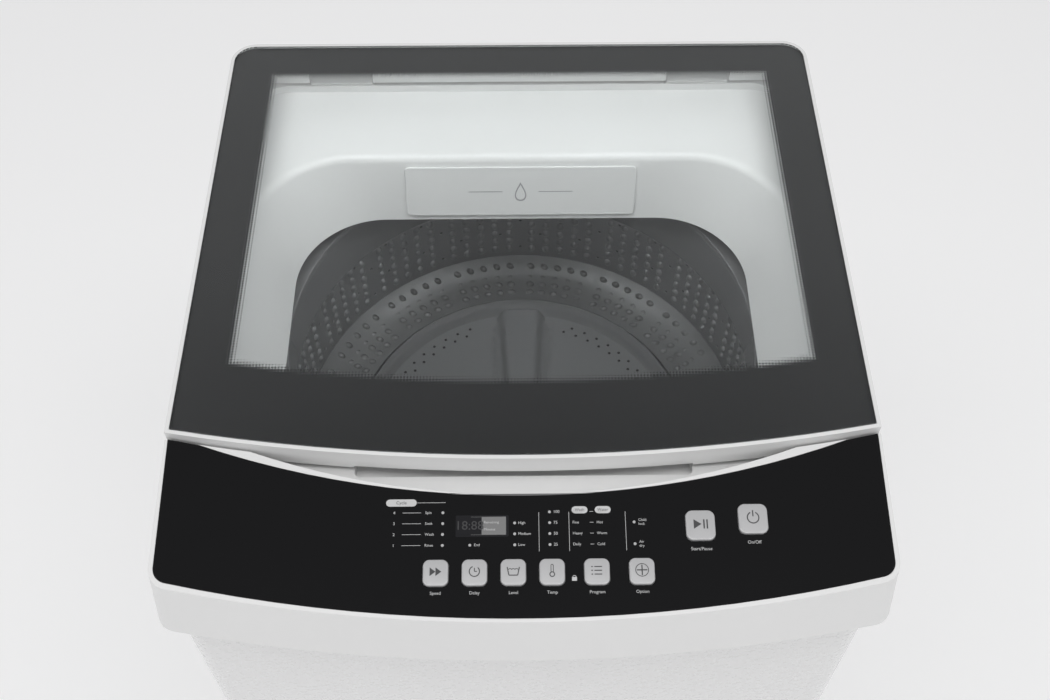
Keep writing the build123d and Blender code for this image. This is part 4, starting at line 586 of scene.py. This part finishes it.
class Marks:
    """Collects flat marks and lays them on the panel as one mesh."""

    def __init__(self, lift=INK_LIFT):
        self.work = bmesh.new()
        self.lift = lift

    def spot(self, x, up):
        """A point over the panel, given by x and distance up the panel."""
        return PANEL_ORIGIN + Vector((x, 0, 0)) + PANEL_UP * up + PANEL_NORMAL * self.lift

    def loop(self, points):
        """A filled outline given by x and distance up the panel."""
        self.work.faces.new([self.work.verts.new(self.spot(x, up)) for x, up in points])

    def bar(self, x, y, width, height):
        """A rectangle centred on a place."""
        up = up_panel(y)
        w, h = width / 2, height / 2
        self.loop([(x - w, up - h), (x + w, up - h), (x + w, up + h), (x - w, up + h)])

    def pill(self, x, y, width, height, steps=8):
        """A bar with round ends."""
        up = up_panel(y)
        radius, reach = height / 2, width / 2 - height / 2
        points = []
        for side, start in ((1, -90), (-1, 90)):
            for step in range(steps + 1):
                angle = math.radians(start + 180 * step / steps)
                points.append((x + side * reach + radius * math.cos(angle), up + radius * math.sin(angle)))
        self.loop(points)

    def arc(self, x, y, radius, stroke, start=0, sweep=360, steps=28):
        """A curved stroke about a centre, in degrees from the +x direction."""
        up = up_panel(y)
        for step in range(steps):
            a0 = math.radians(start + sweep * step / steps)
            a1 = math.radians(start + sweep * (step + 1) / steps)
            inner, outer = radius - stroke / 2, radius + stroke / 2
            self.loop([(x + inner * math.cos(a0), up + inner * math.sin(a0)),
                       (x + outer * math.cos(a0), up + outer * math.sin(a0)),
                       (x + outer * math.cos(a1), up + outer * math.sin(a1)),
                       (x + inner * math.cos(a1), up + inner * math.sin(a1))])

    def line(self, start, end, stroke):
        """A straight stroke between two places, each given by x and y."""
        (x0, y0), (x1, y1) = start, end
        up0, up1 = up_panel(y0), up_panel(y1)
        length = math.hypot(x1 - x0, up1 - up0)
        nx, nu = -(up1 - up0) / length * stroke / 2, (x1 - x0) / length * stroke / 2
        self.loop([(x0 - nx, up0 - nu), (x1 - nx, up1 - nu), (x1 + nx, up1 + nu), (x0 + nx, up0 + nu)])

    def word(self, text, x, y, height, align="LEFT"):
        """A word whose letters are centred on a row."""
        curve = bpy.data.curves.new("lettering", "FONT")
        curve.body = text
        curve.size = height * LETTER_SCALE
        curve.align_x = align
        curve.align_y = "CENTER"
        curve.resolution_u = 3
        holder = bpy.data.objects.new("lettering", curve)
        bpy.context.scene.collection.objects.link(holder)
        bpy.context.view_layer.update()
        flat = bpy.data.meshes.new_from_object(holder.evaluated_get(bpy.context.evaluated_depsgraph_get()))
        up = up_panel(y)
        for vertex in flat.vertices:
            vertex.co = self.spot(x + vertex.co.x, up + vertex.co.y)
        self.work.from_mesh(flat)
        bpy.data.objects.remove(holder)
        bpy.data.curves.remove(curve)
        bpy.data.meshes.remove(flat)

    def piece(self, name, body, slot, material):
        """Finish the marks as a piece."""
        for face in self.work.faces:
            face.normal_update()
            if face.normal.dot(PANEL_NORMAL) < 0:
                face.normal_flip()
        return new_piece(name, made_mesh(name, self.work), body, slot, material)


# %% Legends
SMALL = 2.1 * MM
NARROW = SMALL * 0.92
HAIRLINE = 0.0003
PILL_HEIGHT = 0.0052
TITLE_X = -0.0860
TITLE_ROW = FRONT + 0.0805
PILL_X = (0.0388, 0.0550)
PILL_ROW = FRONT + 0.0745
RULE_X = (0.0102, 0.0312, 0.0706)
RULE_ROW = FRONT + 0.0593
RULE_LENGTH = 0.0280
HALF_LEADING = 0.0014
LOCK_X = 0.0340
STAGES = (("1", "Rinse"), ("2", "Wash"), ("3", "Soak"), ("4", "Spin"))
WASHES = (("Daily", "Cold"), ("Heavy", "Warm"), ("Fine", "Hot"), ("Quick", "Hand"))
legends = Marks()
legends.pill(TITLE_X, TITLE_ROW, 0.0215, PILL_HEIGHT)
legends.bar(-0.0650, TITLE_ROW, 0.0200, HAIRLINE)
for row, (number, word) in enumerate(STAGES):
    legends.word(number, -0.0915, ROWS[row], SMALL)
    legends.bar(-0.0785, ROWS[row], 0.0130, HAIRLINE)
    legends.word(word, -0.0692, ROWS[row], NARROW)
for row, word in enumerate(("Low", "Medium", "High")):
    legends.word(word, -0.0043, ROWS[row], NARROW)
for row, word in enumerate(("25", "50", "75", "100")):
    legends.word(word, 0.0203, ROWS[row], SMALL)
for x in RULE_X:
    legends.bar(x, RULE_ROW, HAIRLINE, RULE_LENGTH)
for x in PILL_X:
    legends.pill(x, PILL_ROW, 0.0112, PILL_HEIGHT)
for row, (left, right) in enumerate(WASHES):
    legends.word(left, 0.0336, ROWS[row], NARROW)
    legends.bar(0.0470, ROWS[row], 0.0026, HAIRLINE)
    legends.word(right, 0.0504, ROWS[row], NARROW)
for row, (top, low) in ((2, ("Child", "lock")), (0, ("Air", "dry"))):
    legends.word(top, 0.0795, ROWS[row] + HALF_LEADING, SMALL * 0.9)
    legends.word(low, 0.0795, ROWS[row] - HALF_LEADING, SMALL * 0.9)
legends.word("End", -0.0350, ROWS[0], NARROW)
NAMES = {"speed": "Speed", "delay": "Delay", "level": "Level", "temperature": "Temp",
         "programme": "Program", "option": "Option"}
for name, word in NAMES.items():
    legends.word(word, button_spot[name].x, FRONT + 0.0172, 2.2 * MM, "CENTER")
legends.word("Start/Pause", button_spot["start"].x, FRONT + 0.0462, 2.3 * MM, "CENTER")
legends.word("On/Off", button_spot["power"].x, FRONT + 0.0505, 2.3 * MM, "CENTER")
legends.arc(LOCK_X, FRONT + 0.0275, 0.0011, 0.0004, 0, 180, 12)
legends.bar(LOCK_X, FRONT + 0.0262, 0.0034, 0.0026)
legends.piece("panel_legends", "cabinet", "button_grey", INK)

pill_words = Marks(INK_LIFT * 2)
pill_words.word("Cycle", TITLE_X, TITLE_ROW, 2.3 * MM, "CENTER")
pill_words.word("Wash", PILL_X[0], PILL_ROW, 2.0 * MM, "CENTER")
pill_words.word("Water", PILL_X[1], PILL_ROW, 2.0 * MM, "CENTER")
pill_words.piece("pill_words", "cabinet", "panel_black", DARK_INK)

# %% [markdown]
# ## Display and lamps
# The display is a smoked window. Its left half is dark with the ghosts of unlit digits, and
# its right half is a paler field with two words.

# %% Display
lens_low, lens_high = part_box("display_lens")
lens_width = lens_high.x - lens_low.x
lens_row = (lens_low.y + lens_high.y) / 2
field = Marks(INK_LIFT)
field.bar(lens_low.x + lens_width * 0.62, lens_row, lens_width * 0.66, 0.0130)
field.piece("display_field", "cabinet", "display_dark", DIM_INK)
digits = Marks(INK_LIFT * 2)
digits.bar(lens_low.x + lens_width * 0.26, lens_row, lens_width * 0.46, 0.0126)
digits.piece("display_window", "cabinet", "display_dark", SMOKED)
ghosts = Marks(INK_LIFT * 3)
ghosts.word("18:88", lens_low.x + lens_width * 0.26, lens_row, 6.4 * MM, "CENTER")
GHOST = finish("digit_ghost", (0.045, 0.045, 0.047), (0.04, 0.04, 0.042), 0.3, bump=0.0)
ghosts.piece("display_digits", "cabinet", "display_dark", GHOST)
captions = Marks(INK_LIFT * 3)
captions.word("Remaining", lens_low.x + lens_width * 0.53, lens_row + 0.0024, SMALL * 0.85)
captions.word("Minutes", lens_low.x + lens_width * 0.53, lens_row - 0.0026, SMALL * 0.85)
captions.piece("display_words", "cabinet", "button_grey", INK)

# %% [markdown]
# ## Button symbols
# Each key carries a small dark symbol printed on its cap, above the cap's face.

# %% Symbols
CAP_LIFT = panel_rise(nodes["button_speed"]) - PANEL_ORIGIN.dot(PANEL_NORMAL) + INK_LIFT
print("cap height:", round(CAP_LIFT * 1000, 2), "mm")


for name, spot in button_spot.items():
    marks = Marks(CAP_LIFT)
    x, y = spot.x, spot.y
    up = up_panel(y)
    if name == "speed":
        for back, tip in ((x - 0.0040, x), (x, x + 0.0040)):
            marks.loop([(back, up - 0.0030), (tip, up), (back, up + 0.0030)])
    elif name == "delay":
        marks.arc(x, y, 0.0035, 0.0007, 110, 300)
        marks.line((x, y), (x, y + 0.0024), 0.0006)
        marks.line((x, y), (x + 0.0018, y), 0.0006)
    elif name == "level":
        marks.line((x - 0.0042, y + 0.0028), (x - 0.0030, y - 0.0028), 0.0007)
        marks.line((x + 0.0042, y + 0.0028), (x + 0.0030, y - 0.0028), 0.0007)
        marks.line((x - 0.0030, y - 0.0028), (x + 0.0030, y - 0.0028), 0.0007)
        for step in range(3):
            marks.arc(x - 0.0022 + 0.0022 * step, y + 0.0006, 0.0011, 0.0005, 20, 140, 8)
    elif name == "temperature":
        marks.arc(x, y - 0.0024, 0.0016, 0.0007)
        for side in (x - 0.0008, x + 0.0008):
            marks.line((side, y - 0.0010), (side, y + 0.0036), 0.0005)
        marks.arc(x, y + 0.0036, 0.0008, 0.0005, 0, 180, 8)
    elif name == "programme":
        for step in range(3):
            marks.bar(x + 0.0008, y + 0.0026 - 0.0026 * step, 0.0052, 0.0007)
            marks.bar(x - 0.0034, y + 0.0026 - 0.0026 * step, 0.0010, 0.0008)
    elif name == "option":
        marks.line((x - 0.0036, y), (x + 0.0036, y), 0.0008)
        marks.line((x, y - 0.0036), (x, y + 0.0036), 0.0008)
        marks.arc(x, y, 0.0044, 0.0005)
    elif name == "start":
        marks.loop([(x - 0.0048, up - 0.0034), (x + 0.0006, up), (x - 0.0048, up + 0.0034)])
        marks.bar(x + 0.0024, y, 0.0010, 0.0066)
        marks.bar(x + 0.0046, y, 0.0010, 0.0066)
    else:
        marks.arc(x, y, 0.0040, 0.0008, 115, 310)
        marks.line((x, y + 0.0008), (x, y + 0.0052), 0.0008)
    marks.piece(f"symbol_{name}", f"button_{name}", "panel_black", DARK_INK)
print("symbols:", len(button_spot))

# %% [markdown]
# ## Basket wall
# The steel basket is pressed with panels of small bumps that lie between plain strips. Each
# bump is the same small dome, repeated round the wall and down the bowl, so a Geometry Nodes
# tree makes them: every place is a point, each point takes a dome turned to its own
# direction, and the result is made real with one material.

# %% Bumps in the basket wall
wall_low, wall_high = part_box("basket_wall")
base_low, base_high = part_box("basket_base")
ring_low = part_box("balance_ring")[0]
WALL_THICKNESS = 0.8 * MM
WALL_RADIUS = (wall_high.x - wall_low.x) / 2 - WALL_THICKNESS
BUMP_BOTTOM = base_high.z + 0.006
BUMP_TOP = ring_low.z - 0.008
DOME_LEVELS = (0.0, 0.45, 0.8)
DOME_STRETCH = 1.35


def dome_mesh(radius, rise, sides=10):
    """A shallow dome that faces +X, open at its back."""
    work = bmesh.new()
    rings = []
    for level in DOME_LEVELS:
        ring = []
        for step in range(sides):
            angle = 2 * math.pi * step / sides
            reach = radius * math.cos(level * math.pi / 2)
            ring.append(work.verts.new((rise * math.sin(level * math.pi / 2), reach * math.cos(angle),
                                        DOME_STRETCH * reach * math.sin(angle))))
        rings.append(ring)
    tip = work.verts.new((rise, 0, 0))
    for lower, upper in zip(rings, rings[1:]):
        for step in range(sides):
            following = (step + 1) % sides
            work.faces.new((lower[step], lower[following], upper[following], upper[step]))
    for step in range(sides):
        work.faces.new((rings[-1][step], rings[-1][(step + 1) % sides], tip))
    bmesh.ops.recalc_face_normals(work, faces=work.faces)
    for face in work.faces:
        face.smooth = True
    return made_mesh("dome", work)


def scatter_tree(name, stamp):
    """A tree that sets a stamp on every point of its mesh, turned to the point's direction."""
    tree = bpy.data.node_groups.new(name, "GeometryNodeTree")
    tree.interface.new_socket("Geometry", in_out="INPUT", socket_type="NodeSocketGeometry")
    size = tree.interface.new_socket("Size", in_out="INPUT", socket_type="NodeSocketFloat")
    size.default_value = 1.0
    coat = tree.interface.new_socket("Finish", in_out="INPUT", socket_type="NodeSocketMaterial")
    tree.interface.new_socket("Geometry", in_out="OUTPUT", socket_type="NodeSocketGeometry")
    entry = tree.nodes.new("NodeGroupInput")
    leave = tree.nodes.new("NodeGroupOutput")
    to_points = tree.nodes.new("GeometryNodeMeshToPoints")
    copies = tree.nodes.new("GeometryNodeInstanceOnPoints")
    source = tree.nodes.new("GeometryNodeObjectInfo")
    source.inputs["Object"].default_value = stamp
    facing = tree.nodes.new("GeometryNodeInputNamedAttribute")
    facing.data_type = "FLOAT_VECTOR"
    facing.inputs["Name"].default_value = "facing"
    turn = tree.nodes.new("FunctionNodeAlignRotationToVector")
    turn.axis = "X"
    turn.pivot_axis = "AUTO"
    real = tree.nodes.new("GeometryNodeRealizeInstances")
    paint = tree.nodes.new("GeometryNodeSetMaterial")
    link = tree.links.new
    link(entry.outputs["Geometry"], to_points.inputs["Mesh"])
    link(to_points.outputs["Points"], copies.inputs["Points"])
    link(source.outputs["Geometry"], copies.inputs["Instance"])
    link(facing.outputs["Attribute"], turn.inputs["Vector"])
    link(turn.outputs["Rotation"], copies.inputs["Rotation"])
    link(entry.outputs["Size"], copies.inputs["Scale"])
    link(copies.outputs["Instances"], real.inputs["Geometry"])
    link(real.outputs["Geometry"], paint.inputs["Geometry"])
    link(entry.outputs["Finish"], paint.inputs["Material"])
    link(paint.outputs["Geometry"], leave.inputs["Geometry"])
    return tree, {"Size": size.identifier, "Finish": coat.identifier}


def scatter(name, stamp_mesh, places, body, slot, material, size=1.0):
    """Stamp a mesh at each place and direction, and return the result as a plain piece."""
    stamp = bpy.data.objects.new(f"{name}_stamp", stamp_mesh)
    points = bpy.data.meshes.new(f"{name}_points")
    points.from_pydata([place for place, facing in places], [], [])
    attribute = points.attributes.new("facing", "FLOAT_VECTOR", "POINT")
    for index, (place, facing) in enumerate(places):
        attribute.data[index].vector = facing
    holder = bpy.data.objects.new(f"{name}_source", points)
    bpy.context.scene.collection.objects.link(holder)
    tree, sockets = scatter_tree(f"{name}_tree", stamp)
    modifier = holder.modifiers.new("scatter", "NODES")
    modifier.node_group = tree
    modifier[sockets["Size"]] = size
    modifier[sockets["Finish"]] = material
    bpy.context.view_layer.update()
    result = bpy.data.meshes.new_from_object(holder.evaluated_get(bpy.context.evaluated_depsgraph_get()))
    holder.modifiers.clear()
    bpy.data.objects.remove(holder)
    bpy.data.objects.remove(stamp)
    result.name = name
    piece = new_piece(name, result, body, slot)
    print(name, "copies:", len(places), "faces:", len(result.polygons))
    return piece


PANELS = 16
COLUMNS = 5
LEVELS = 6
BOWL_ROWS = 4
PANEL_START = 0.14
PANEL_SHARE = 0.72
BOWL_EDGE = 0.009
BOWL_PITCH = 0.0088
BOWL_REACH = 0.002
WALL_SINK = 0.0001
BOWL_SINK = 0.0002
BOWL_FLOOR = 0.032
wall_places = []
bowl_places = []
base = nodes["basket_base"]
bowl_profile = sorted({(round(math.hypot(spot.x - AXIS.x, spot.y - AXIS.y), 4), round(spot.z, 4))
                       for spot in (base.matrix_world @ vertex.co for vertex in base.data.vertices)
                       if spot.z > base_low.z + BOWL_FLOOR})


def bowl_height(radius):
    """Height of the bowl's upper face at a radius, between the rings of the node's own mesh."""
    below = max((point for point in bowl_profile if point[0] <= radius), default=bowl_profile[0])
    above = min((point for point in bowl_profile if point[0] > radius), default=bowl_profile[-1])
    span = max(above[0] - below[0], 1e-6)
    return below[1] + (above[1] - below[1]) * (radius - below[0]) / span


for panel in range(PANELS):
    for column in range(COLUMNS):
        angle = 2 * math.pi * (panel + PANEL_START + PANEL_SHARE * column / (COLUMNS - 1)) / PANELS
        inward = Vector((-math.cos(angle), -math.sin(angle), 0))
        for level in range(LEVELS):
            z = BUMP_BOTTOM + (BUMP_TOP - BUMP_BOTTOM) * (level + 0.5) / LEVELS
            spot = Vector((AXIS.x, AXIS.y, z)) - inward * (WALL_RADIUS - WALL_SINK)
            wall_places.append((spot, inward))
        for row in range(BOWL_ROWS):
            radius = WALL_RADIUS - BOWL_EDGE - BOWL_PITCH * row
            slope = bowl_height(radius + BOWL_REACH) - bowl_height(radius - BOWL_REACH)
            slope /= 2 * BOWL_REACH
            spot = Vector((AXIS.x, AXIS.y, bowl_height(radius) - BOWL_SINK)) - inward * radius
            bowl_places.append((spot, (inward * slope + Vector((0, 0, 1))).normalized()))
scatter("basket_bumps", dome_mesh(3.7 * MM, 2.8 * MM), wall_places, "basket", "drum_steel", DRUM)
# The bowl's bumps take the darker bowl steel, the same painted shade.
scatter("bowl_bumps", dome_mesh(3.2 * MM, 2.6 * MM), bowl_places, "basket", "drum_steel", SHADED_BOWL_STEEL)
print("bowl profile:", len(bowl_profile))

# %% [markdown]
# ## Pulsator
# The pulsator is one smooth moulding: a dished plate with a double rim, a hub, and wide fins
# that swell out of the dish. A polar grid of heights makes it, because every part of its
# surface is a rule in radius and angle. The underside is flat.

# %% Pulsator moulding
pulse_low, pulse_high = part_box("pulsator")
PULSE_RADIUS = (pulse_high.x - pulse_low.x) / 2
RIM_Z = pulse_high.z - 0.020
FINS = 4
BORE = 8 * MM


def swell(value, start, end):
    """Rise smoothly from 0 to 1 between two values."""
    share_now = min(max((value - start) / (end - start), 0.0), 1.0)
    return share_now * share_now * (3 - 2 * share_now)


def pulsator_height(radius, angle):
    """Height of the pulsator's top at a radius and an angle."""
    rim = PULSE_RADIUS
    dish = RIM_Z - 0.012 + 0.003 * (1 - radius / rim)
    height = dish + 0.012 * swell(radius, rim - 0.012, rim - 0.006)
    rim_groove = swell(radius, rim - 0.0055, rim - 0.0045)
    height -= 0.0035 * rim_groove * (1 - swell(radius, rim - 0.0035, rim - 0.0025))
    height -= 0.0050 * swell(radius, rim - 0.0012, rim)
    hub = 0.030 * (1 - swell(radius, 0.016, 0.062))
    nearest = min(abs((angle - math.pi / 2 - 2 * math.pi * fin / FINS + math.pi) % (2 * math.pi) - math.pi)
                  for fin in range(FINS))
    side = radius * math.sin(min(nearest, math.pi / 2))
    wide = 0.0165 + 0.010 * radius / rim
    fin_rise = 0.0150 * (1 - swell(side, wide - 0.009, wide))
    fin_rise *= 1 - swell(radius, rim - 0.016, rim - 0.007)
    groove = 0.0025 * (1 - swell(abs(side - wide - 0.0045), 0.0, 0.0035)) * swell(radius, 0.05, 0.07)
    groove *= 1 - swell(radius, rim - 0.03, rim - 0.015)
    return min(max(height + hub, height + fin_rise) - groove, pulse_high.z)


def pulsator_mesh(rings=84, sides=288):
    """The closed moulding: a top of rules, an outer edge, an underside and a bore."""
    work = bmesh.new()
    tops, unders = [], []
    for ring in range(rings + 1):
        radius = BORE + (PULSE_RADIUS - BORE) * (ring / rings) ** 0.8
        top, under = [], []
        for side in range(sides):
            angle = 2 * math.pi * side / sides
            x, y = AXIS.x + radius * math.cos(angle), AXIS.y + radius * math.sin(angle)
            top.append(work.verts.new((x, y, pulsator_height(radius, angle))))
            if ring in (0, rings):
                under.append(work.verts.new((x, y, pulse_low.z)))
        tops.append(top)
        if under:
            unders.append(under)
    loops = tops + [unders[1], unders[0], tops[0]]
    for inner, outer in zip(loops, loops[1:]):
        for side in range(sides):
            following = (side + 1) % sides
            work.faces.new((inner[side], outer[side], outer[following], inner[following]))
    bmesh.ops.recalc_face_normals(work, faces=work.faces)
    for face in work.faces:
        face.smooth = True
    for edge in work.edges:
        edge.smooth = edge.calc_face_angle(0.0) < math.radians(50)
    return made_mesh("pulsator_moulding", work)


moulding = new_piece("pulsator_moulding", pulsator_mesh(), "pulsator", "grey_plastic", PULSE)
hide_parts("pulsator")

# %% Drain holes
HOLE_INSETS = (0.0200, 0.0270)
HOLES_IN_ROW = 9
HOLE_START, HOLE_STEP, HOLE_STAGGER = 22, 5.75, 2.8
HOLE_LIFT = 0.00012
hole_places = []
for quarter in range(FINS):
    for row, inset in enumerate(HOLE_INSETS):
        for step in range(HOLES_IN_ROW):
            turned = math.radians(HOLE_START + HOLE_STEP * step + HOLE_STAGGER * row)
            angle = 2 * math.pi * quarter / FINS + turned
            radius = PULSE_RADIUS - inset
            place_now = Vector((AXIS.x + radius * math.cos(angle), AXIS.y + radius * math.sin(angle), 0))
            place_now.z = pulsator_height(radius, angle) + HOLE_LIFT
            hole_places.append((place_now, Vector((0, 0, 1))))


def disc_mesh(radius, sides=12):
    """A flat disc that faces +X."""
    work = bmesh.new()
    turns = [2 * math.pi * step / sides for step in range(sides)]
    work.faces.new([work.verts.new((0, radius * math.cos(turn), radius * math.sin(turn)))
                    for turn in turns])
    return made_mesh("disc", work)


# Each hole is a flat dark disc laid on the moulding: painted shade where the hole goes down into the dark below.
HOLE = finish("hole_shade", (0.006, 0.006, 0.006), (0.005, 0.005, 0.005), 0.8, bump=0.0)
scatter("pulsator_holes", disc_mesh(1.5 * MM), hole_places, "pulsator", "dark_plastic", HOLE)

# %% [markdown]
# ## Emblem
# The faceplate of the water box carries a plain drop between two short strokes, as a generic
# sign for the water inlet.

# %% Emblem on the faceplate
EMBLEM_LIFT = 0.00008
DROP_HEIGHT = 0.020
DROP_HOLE = 0.78
STROKE_FROM, STROKE_TO, STROKE_HALF = 0.016, 0.046, 0.0004
plate_low, plate_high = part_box("inlet_box_cover")
faceplate = nodes["inlet_box_cover"]
largest = max(faceplate.data.polygons, key=lambda face: face.area * (face.normal.y < 0))
PLATE_NORMAL = largest.normal.copy()
PLATE_UP = Vector((1, 0, 0)).cross(-PLATE_NORMAL)
plate_face = faceplate.matrix_world @ largest.center
plate_rise = plate_face.dot(PLATE_NORMAL) + EMBLEM_LIFT
plate_face = Vector((0, (plate_low.y + plate_high.y) / 2, (plate_low.z + plate_high.z) / 2))
plate_face += PLATE_NORMAL * (plate_rise - plate_face.dot(PLATE_NORMAL))
print("plate normal:", [round(v, 3) for v in PLATE_NORMAL], "up:", [round(v, 3) for v in PLATE_UP])


def drop_outline(height, steps=28):
    """Outline of a water drop, tip up, about its own middle."""
    points = []
    for step in range(steps):
        turn = 2 * math.pi * step / steps
        width_now = 0.36 * height * math.sin(turn) * math.sin(turn / 2) ** 1.4
        points.append((width_now, height / 2 * math.cos(turn)))
    return points


emblem = bmesh.new()
outer = drop_outline(DROP_HEIGHT)
inner = [(x * DROP_HOLE, up * DROP_HOLE - 0.0006) for x, up in outer]


def on_plate(x, up):
    """A point on the faceplate's front."""
    return plate_face + Vector((x, 0, 0)) + PLATE_UP * up


for index in range(len(outer)):
    following = (index + 1) % len(outer)
    emblem.faces.new([emblem.verts.new(on_plate(*point)) for point in
                      (outer[index], outer[following], inner[following], inner[index])])
for side in (-1, 1):
    emblem.faces.new([emblem.verts.new(on_plate(side * x, up)) for x, up in
                      ((STROKE_FROM, -STROKE_HALF), (STROKE_TO, -STROKE_HALF),
                       (STROKE_TO, STROKE_HALF), (STROKE_FROM, STROKE_HALF))])
bmesh.ops.remove_doubles(emblem, verts=emblem.verts, dist=1e-7)
for face in emblem.faces:
    face.normal_update()
    if face.normal.dot(PLATE_NORMAL) < 0:
        face.normal_flip()
emblem_mesh = made_mesh("inlet_emblem", emblem)
EMBLEM_INK = finish("emblem_ink", (0.36, 0.36, 0.37), (0.33, 0.33, 0.34), 0.4, bump=0.0)
new_piece("inlet_emblem", emblem_mesh, "cabinet", "button_grey", EMBLEM_INK)

# %% [markdown]
# ## Sizes
# The box of the finished machine is printed. The finished machine must stay inside the bare
# model's box.

# %% Sizes and finish
bpy.context.view_layer.update()
low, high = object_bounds()
print("visual box:", list(low), list(high))
